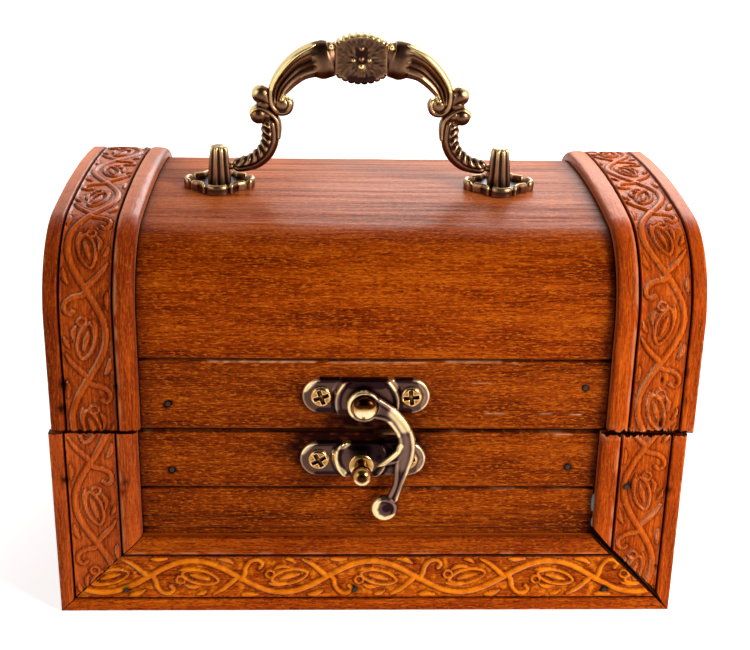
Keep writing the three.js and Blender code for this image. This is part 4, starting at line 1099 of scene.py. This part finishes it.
class Nodes:
    """Short names for the nodes that a material needs."""

    def __init__(self, name, roughness=0.4, metallic=0.0, specular=0.5):
        self.material = bpy.data.materials.new(name)
        self.material.use_nodes = True
        self.tree = self.material.node_tree
        self.shader = self.tree.nodes["Principled BSDF"]
        self.shader.inputs["Roughness"].default_value = roughness
        self.shader.inputs["Metallic"].default_value = metallic
        self.shader.inputs["Specular IOR Level"].default_value = specular

    def new(self, kind, **values):
        node = self.tree.nodes.new(kind)
        for key, value in values.items():
            setattr(node, key, value)
        return node

    def link(self, a, b):
        self.tree.links.new(a, b)

    def attribute(self, name, output="Fac"):
        return self.new("ShaderNodeAttribute", attribute_name=name).outputs[output]

    def mapped(self, source, scale=(1, 1, 1), turn=0, shift=0):
        mapping = self.new("ShaderNodeMapping")
        mapping.inputs["Scale"].default_value = scale
        mapping.inputs["Rotation"].default_value = (0, 0, turn)
        mapping.inputs["Location"].default_value = (shift, shift, shift)
        self.link(source, mapping.inputs["Vector"])
        return mapping.outputs["Vector"]

    def noise(self, source, scale, detail=4, roughness=0.55):
        node = self.new("ShaderNodeTexNoise")
        node.inputs["Scale"].default_value = 1
        node.inputs["Detail"].default_value = detail
        node.inputs["Roughness"].default_value = roughness
        self.link(self.mapped(source, scale), node.inputs["Vector"])
        return node.outputs["Fac"]

    def spread(self, source, limits, interpolation="LINEAR"):
        """A value led through a Map Range node; limits are settings such as From Min."""
        node = self.new("ShaderNodeMapRange", interpolation_type=interpolation)
        for key, value in limits.items():
            node.inputs[key].default_value = value
        self.link(source, node.inputs["Value"])
        return node.outputs[0]

    def between(self, source, low, high):
        """Zero below low, one above high."""
        return self.spread(source, {"From Min": low, "From Max": high}, "SMOOTHSTEP")

    def ramp(self, source, stops):
        """Colours between stops of place and 8-bit colour."""
        node = self.new("ShaderNodeValToRGB")
        elements = node.color_ramp.elements
        while len(elements) < len(stops):
            elements.new(0.5)
        for element, (position, colour) in zip(elements, stops):
            element.position = position
            element.color = srgb(colour)
        self.link(source, node.inputs["Fac"])
        return node.outputs["Color"]

    def fill(self, socket, value):
        if isinstance(value, bpy.types.NodeSocket):
            self.link(value, socket)
        else:
            socket.default_value = value

    def maths(self, operation, a, b):
        node = self.new("ShaderNodeMath", operation=operation, use_clamp=operation != "ADD")
        self.fill(node.inputs[0], a)
        self.fill(node.inputs[1], b)
        return node.outputs[0]

    def mix(self, factor, a, b):
        node = self.new("ShaderNodeMix", data_type="RGBA")
        for index, value in ((0, factor), (6, a), (7, b)):
            self.fill(node.inputs[index], value)
        return node.outputs[2]

    def colour(self, source):
        self.link(source, self.shader.inputs["Base Color"])

    def roughness(self, source, low, high):
        self.link(self.spread(source, {"To Min": low, "To Max": high}), self.shader.inputs["Roughness"])

    def bump(self, source, strength, distance):
        node = self.new("ShaderNodeBump")
        node.inputs["Strength"].default_value = strength
        node.inputs["Distance"].default_value = distance
        self.link(source, node.inputs["Height"])
        self.link(node.outputs["Normal"], self.shader.inputs["Normal"])


PORE, FLECK, DARK_SHADE_AND_STAIN, PALE_WEAR_AND_HIGHLIGHT = (52, 20, 6), (226, 118, 26), (30, 5, 3), (252, 180, 126)
WARM_SHEEN = (255, 146, 84)
EVERY_METRE = (1 / MM, 1 / MM, 1 / MM)


def wood(name, dark, mid, light, gild, source="grain", turn=0, grit=1.0, glare=0.25, even=0.0, gilding=1.0):
    """Lacquered wood with fine streaks along the grain, dark pores and a streaky glare at grazing angles.

    It follows the piece's grain attribute or, on a plain solid, the object's own place turned by an angle.
    """
    n = Nodes(name, specular=0.02)
    grained = source == "grain"
    if grained:
        place = n.attribute("grain", "Vector")
    else:
        place = n.mapped(n.new("ShaderNodeTexCoord").outputs["Object"], EVERY_METRE, turn)
    deep = 0.4 if grained else 1

    def along_grain(slow, quick, detail, roughness=0.55, shift=0):
        start = n.mapped(place, shift=shift) if shift else place
        return n.noise(start, (slow, quick, quick * deep), detail, roughness)

    fibre = along_grain(0.11, 2.1, 6, 0.75)
    figure = along_grain(0.02, 0.16, 3)
    pores = along_grain(0.9, 3.6, 2, 0.6)
    flecks = along_grain(0.8, 3.4, 2, 0.6, shift=37)
    streaks = along_grain(0.015, 0.42, 4, 0.65, shift=11)
    tone = n.maths("ADD", n.maths("MULTIPLY", fibre, 0.62), n.maths("MULTIPLY", figure, 0.38))
    colour = n.ramp(tone, [(0.38, dark), (0.5, mid), (0.63, light)])
    colour = n.mix(n.maths("MULTIPLY", n.between(pores, 0.5, 0.64), 0.65 * grit), colour, srgb(PORE))
    colour = n.mix(n.maths("MULTIPLY", n.between(flecks, 0.54, 0.66), 0.5 * grit), colour, srgb(FLECK))
    streaked = n.between(streaks, 0.22 - even, 0.68 - even)
    facing = n.new("ShaderNodeLayerWeight")
    facing.inputs["Blend"].default_value = 0.5
    grazing = n.maths("MULTIPLY", n.between(facing.outputs["Facing"], 0.22, 0.7), streaked)
    if grained:
        shade_and_stain = n.attribute("shade_and_stain")
        colour = n.mix(n.maths("MULTIPLY", n.attribute("gild"), gilding), colour, srgb(gild))
        # Painted shade in the grooves, cuts and seams and beside the bands and the latch, with dark spots and
        # nail marks
        colour = n.mix(shade_and_stain, colour, srgb(DARK_SHADE_AND_STAIN))
        # Pale wear, and on the carved bands also a painted highlight on slopes that face one side
        colour = n.mix(n.maths("MULTIPLY", n.attribute("wear_and_highlight"), 0.6), colour, srgb(PALE_WEAR_AND_HIGHLIGHT))
        grazing = n.maths("MULTIPLY", grazing, n.maths("SUBTRACT", 1.0, shade_and_stain))
    n.colour(colour)
    n.roughness(fibre, 0.3, 0.5)
    n.link(n.maths("MULTIPLY", grazing, glare), n.shader.inputs["Coat Weight"])
    n.shader.inputs["Coat Roughness"].default_value = 0.3
    n.link(grazing, n.shader.inputs["Sheen Weight"])
    n.shader.inputs["Sheen Roughness"].default_value = 0.4
    n.shader.inputs["Sheen Tint"].default_value = srgb(WARM_SHEEN)
    n.bump(fibre, 0.35, 0.12 * MM)
    return n.material


def metal(name, hollow, face, edge, roughness=0.3):
    """Antique metal: 0 is a dark hollow or painted shade, 1 a rubbed edge or a painted highlight."""
    n = Nodes(name, metallic=1, roughness=roughness)
    place = n.new("ShaderNodeTexCoord").outputs["Object"]
    mottle = n.noise(place, (900, 900, 900))
    colour = n.ramp(n.attribute("polish_and_painted_light"), [(0.05, hollow), (0.4, face), (0.85, edge)])
    n.colour(n.mix(n.maths("MULTIPLY", mottle, 0.4), colour, srgb(hollow)))
    n.roughness(mottle, roughness * 0.75, roughness * 1.35)
    return n.material


def plain(name, colour, roughness, metallic=0.0, specular=0.5):
    """One colour with a faint mottle."""
    n = Nodes(name, roughness=roughness, metallic=metallic, specular=specular)
    mottle = n.noise(n.new("ShaderNodeTexCoord").outputs["Object"], (700, 700, 700), detail=3)
    bright = srgb(colour)
    n.colour(n.mix(mottle, (*(c * 0.7 for c in bright[:3]), 1), bright))
    return n.material


STAIN = ((66, 14, 2), (132, 48, 5), (184, 84, 12), (66, 14, 2))


def carved_wood(name, dark, mid, light, gild, glare, even):
    return wood(name, dark, mid, light, gild, grit=0.55, glare=glare, even=even, gilding=0.3)


def make_materials():
    return {
        "board": wood("board", *STAIN),
        "panel": wood("panel", (78, 16, 2), (144, 50, 3), (194, 92, 12), (200, 100, 20)),
        "carved": carved_wood("carved", (92, 26, 7), (150, 54, 12), (196, 84, 20), (222, 104, 26), 0.75, 0.4),
        # Two lighter copies of the carved wood are painted light: the base's left band painted brighter as if
        # lit from the floor, the right bands as if lit from the right
        "carved_painted_lit_base_left": carved_wood("carved_painted_lit_base_left", (114, 40, 14), (182, 74, 26), (224, 104, 36), (228, 110, 34),
                                  0.5, 0.3),
        "carved_painted_lit_right": carved_wood("carved_painted_lit_right", (112, 36, 8), (176, 66, 12), (222, 102, 20),
                                     (236, 116, 24), 0.35, 0.4),
        "carved_gold": wood("carved_gold", (112, 32, 5), (172, 65, 8), (222, 106, 18), (255, 140, 18)),
        "side": wood("side", *STAIN, source="object", turn=math.pi / 2),
        "back": wood("back", *STAIN, source="object"),
        "filler": plain("filler", (116, 130, 134), 0.5),
        "bronze": metal("bronze", (46, 26, 22), (156, 114, 82), (255, 226, 156)),
        "latch": metal("latch", (36, 18, 20), (136, 104, 88), (255, 226, 164)),
        "brass": metal("brass", (52, 24, 8), (214, 160, 90), (255, 236, 190), 0.2),
        "hinge": plain("hinge", (122, 92, 50), 0.4, metallic=1),
        "screw": plain("screw", (190, 140, 72), 0.3, metallic=1),
        "steel": plain("steel", (150, 146, 140), 0.35, metallic=1),
        "brad": plain("brad", (56, 48, 46), 0.6, specular=0.15),
    }


# Stage, lights and camera


def add_camera():
    forward = Vector((math.sin(YAW) * math.cos(PITCH), math.cos(YAW) * math.cos(PITCH), -math.sin(PITCH)))
    right = Vector((math.cos(YAW), -math.sin(YAW), 0))
    up = right.cross(forward)
    x_axis = math.cos(ROLL) * right + math.sin(ROLL) * up
    y_axis = -math.sin(ROLL) * right + math.cos(ROLL) * up
    data = bpy.data.cameras.new("camera")
    data.sensor_width = SENSOR_MM
    data.lens = FOCAL_PX * SENSOR_MM / IMAGE_WIDTH
    data.clip_start = 0.01
    camera = linked("camera", data)
    turn = Matrix((x_axis, y_axis, -forward)).transposed()
    camera.matrix_world = Matrix.Translation(Vector(CAMERA_AT) * MM) @ turn.to_4x4()
    bpy.context.scene.camera = camera


def add_lamp(name, place, aim_height, size, power):
    """A square lamp, in metres and watts, aimed at a height over the middle of the chest's foot."""
    data = bpy.data.lights.new(name, "AREA")
    data.size = size
    data.energy = power
    lamp = linked(name, data)
    lamp.location = place
    aim = Vector((0, 0, aim_height)) - Vector(place)
    lamp.rotation_euler = aim.to_track_quat("-Z", "Y").to_euler()


def seen_directly(nodes, links):
    """One where a ray comes from the camera, a mirror or glass, and zero elsewhere."""
    path = nodes.new("ShaderNodeLightPath")
    seen = path.outputs["Is Camera Ray"]
    for kind in ("Is Glossy Ray", "Is Transmission Ray"):
        either = nodes.new("ShaderNodeMath")
        either.operation = "MAXIMUM"
        links.new(seen, either.inputs[0])
        links.new(path.outputs[kind], either.inputs[1])
        seen = either.outputs[0]
    return seen


def add_world():
    """A white studio that lights the chest less than it shows."""
    world = bpy.data.worlds.new("studio")
    world.use_nodes = True
    nodes, links = world.node_tree.nodes, world.node_tree.links
    background = nodes["Background"]
    background.inputs["Color"].default_value = (1, 1, 1, 1)
    strength = nodes.new("ShaderNodeMapRange")
    strength.inputs["To Min"].default_value = 0.4
    strength.inputs["To Max"].default_value = 1
    links.new(seen_directly(nodes, links), strength.inputs["Value"])
    links.new(strength.outputs[0], background.inputs["Strength"])
    bpy.context.scene.world = world


def add_sheet(name, corners, faces, colour):
    """A matt sheet for the stage, with its material's nodes."""
    mesh = bpy.data.meshes.new(name)
    mesh.from_pydata(corners, [], faces)
    n = Nodes(name, roughness=0.9, specular=0)
    n.shader.inputs["Base Color"].default_value = (*colour, 1)
    mesh.materials.append(n.material)
    return linked(name, mesh), n


def add_floor():
    """A white floor just under the chest, which glows where it is seen directly."""
    size = 3
    corners = [(-size, -size, 0), (size, -size, 0), (size, size, 0), (-size, size, 0)]
    floor, n = add_sheet("floor", corners, [(0, 1, 2, 3)], (0.9, 0.9, 0.9))
    floor.location.z = -0.2 * MM
    n.shader.inputs["Emission Color"].default_value = (1, 1, 1, 1)
    glow = n.maths("MULTIPLY", seen_directly(n.tree.nodes, n.tree.links), 0.7)
    n.link(glow, n.shader.inputs["Emission Strength"])


def add_dark_card():
    """A dark card behind the camera and over it, as the unlit room that metal reflects."""
    half, near, far, low, high = 0.7, -0.1, -0.8, 0.14, 0.75
    corners = [(-half, far, low), (half, far, low), (half, far, high), (-half, far, high), (half, near, high),
               (-half, near, high)]
    card, _ = add_sheet("card", corners, [(0, 1, 2, 3), (3, 2, 4, 5)], (0.05, 0.04, 0.035))
    card.visible_camera = False


def paint(material, *names):
    for name in names:
        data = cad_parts[name].data
        data.materials.clear()
        data.materials.append(material)


def paint_plain_pieces(materials):
    """Gives the pieces that keep their own solids their materials."""
    paint(materials["back"], "base_bottom_board", "base_back_board", "lid_back_rail")
    paint(materials["side"], "base_left_board", "base_right_board", "lid_left_end", "lid_right_end")
    for side in ("left", "right"):
        paint(materials["hinge"], f"hinge_{side}_base_leaf", f"hinge_{side}_lid_leaf")
        paint(materials["steel"], f"hinge_{side}_pin", f"handle_screw_{side}")
        for leaf in ("base", "lid"):
            paint(materials["screw"], f"hinge_{side}_{leaf}_screw_1", f"hinge_{side}_{leaf}_screw_2")
    for row, count in (("base_band", 4), ("base_plank", 2), ("lid_rail", 2)):
        paint(materials["brad"], *(f"{row}_brad_{k + 1}" for k in range(count)))


bpy.context.scene.view_settings.view_transform = "Standard"
add_camera()
add_world()
add_floor()
add_dark_card()
add_lamp("key", (0.3, -0.27, 0.24), 0.05, 0.14, 1.8)
add_lamp("fill", (-0.6, -0.5, 0.3), 0.05, 0.4, 0.9)
add_lamp("back", (0.15, 0.5, 0.36), 0.08, 0.4, 2.2)

materials = make_materials()
add_boards(materials)
add_bands(materials)
add_handle(materials["bronze"])
add_latch(materials["latch"], materials["brass"])
add_filler(materials["filler"])
paint_plain_pieces(materials)
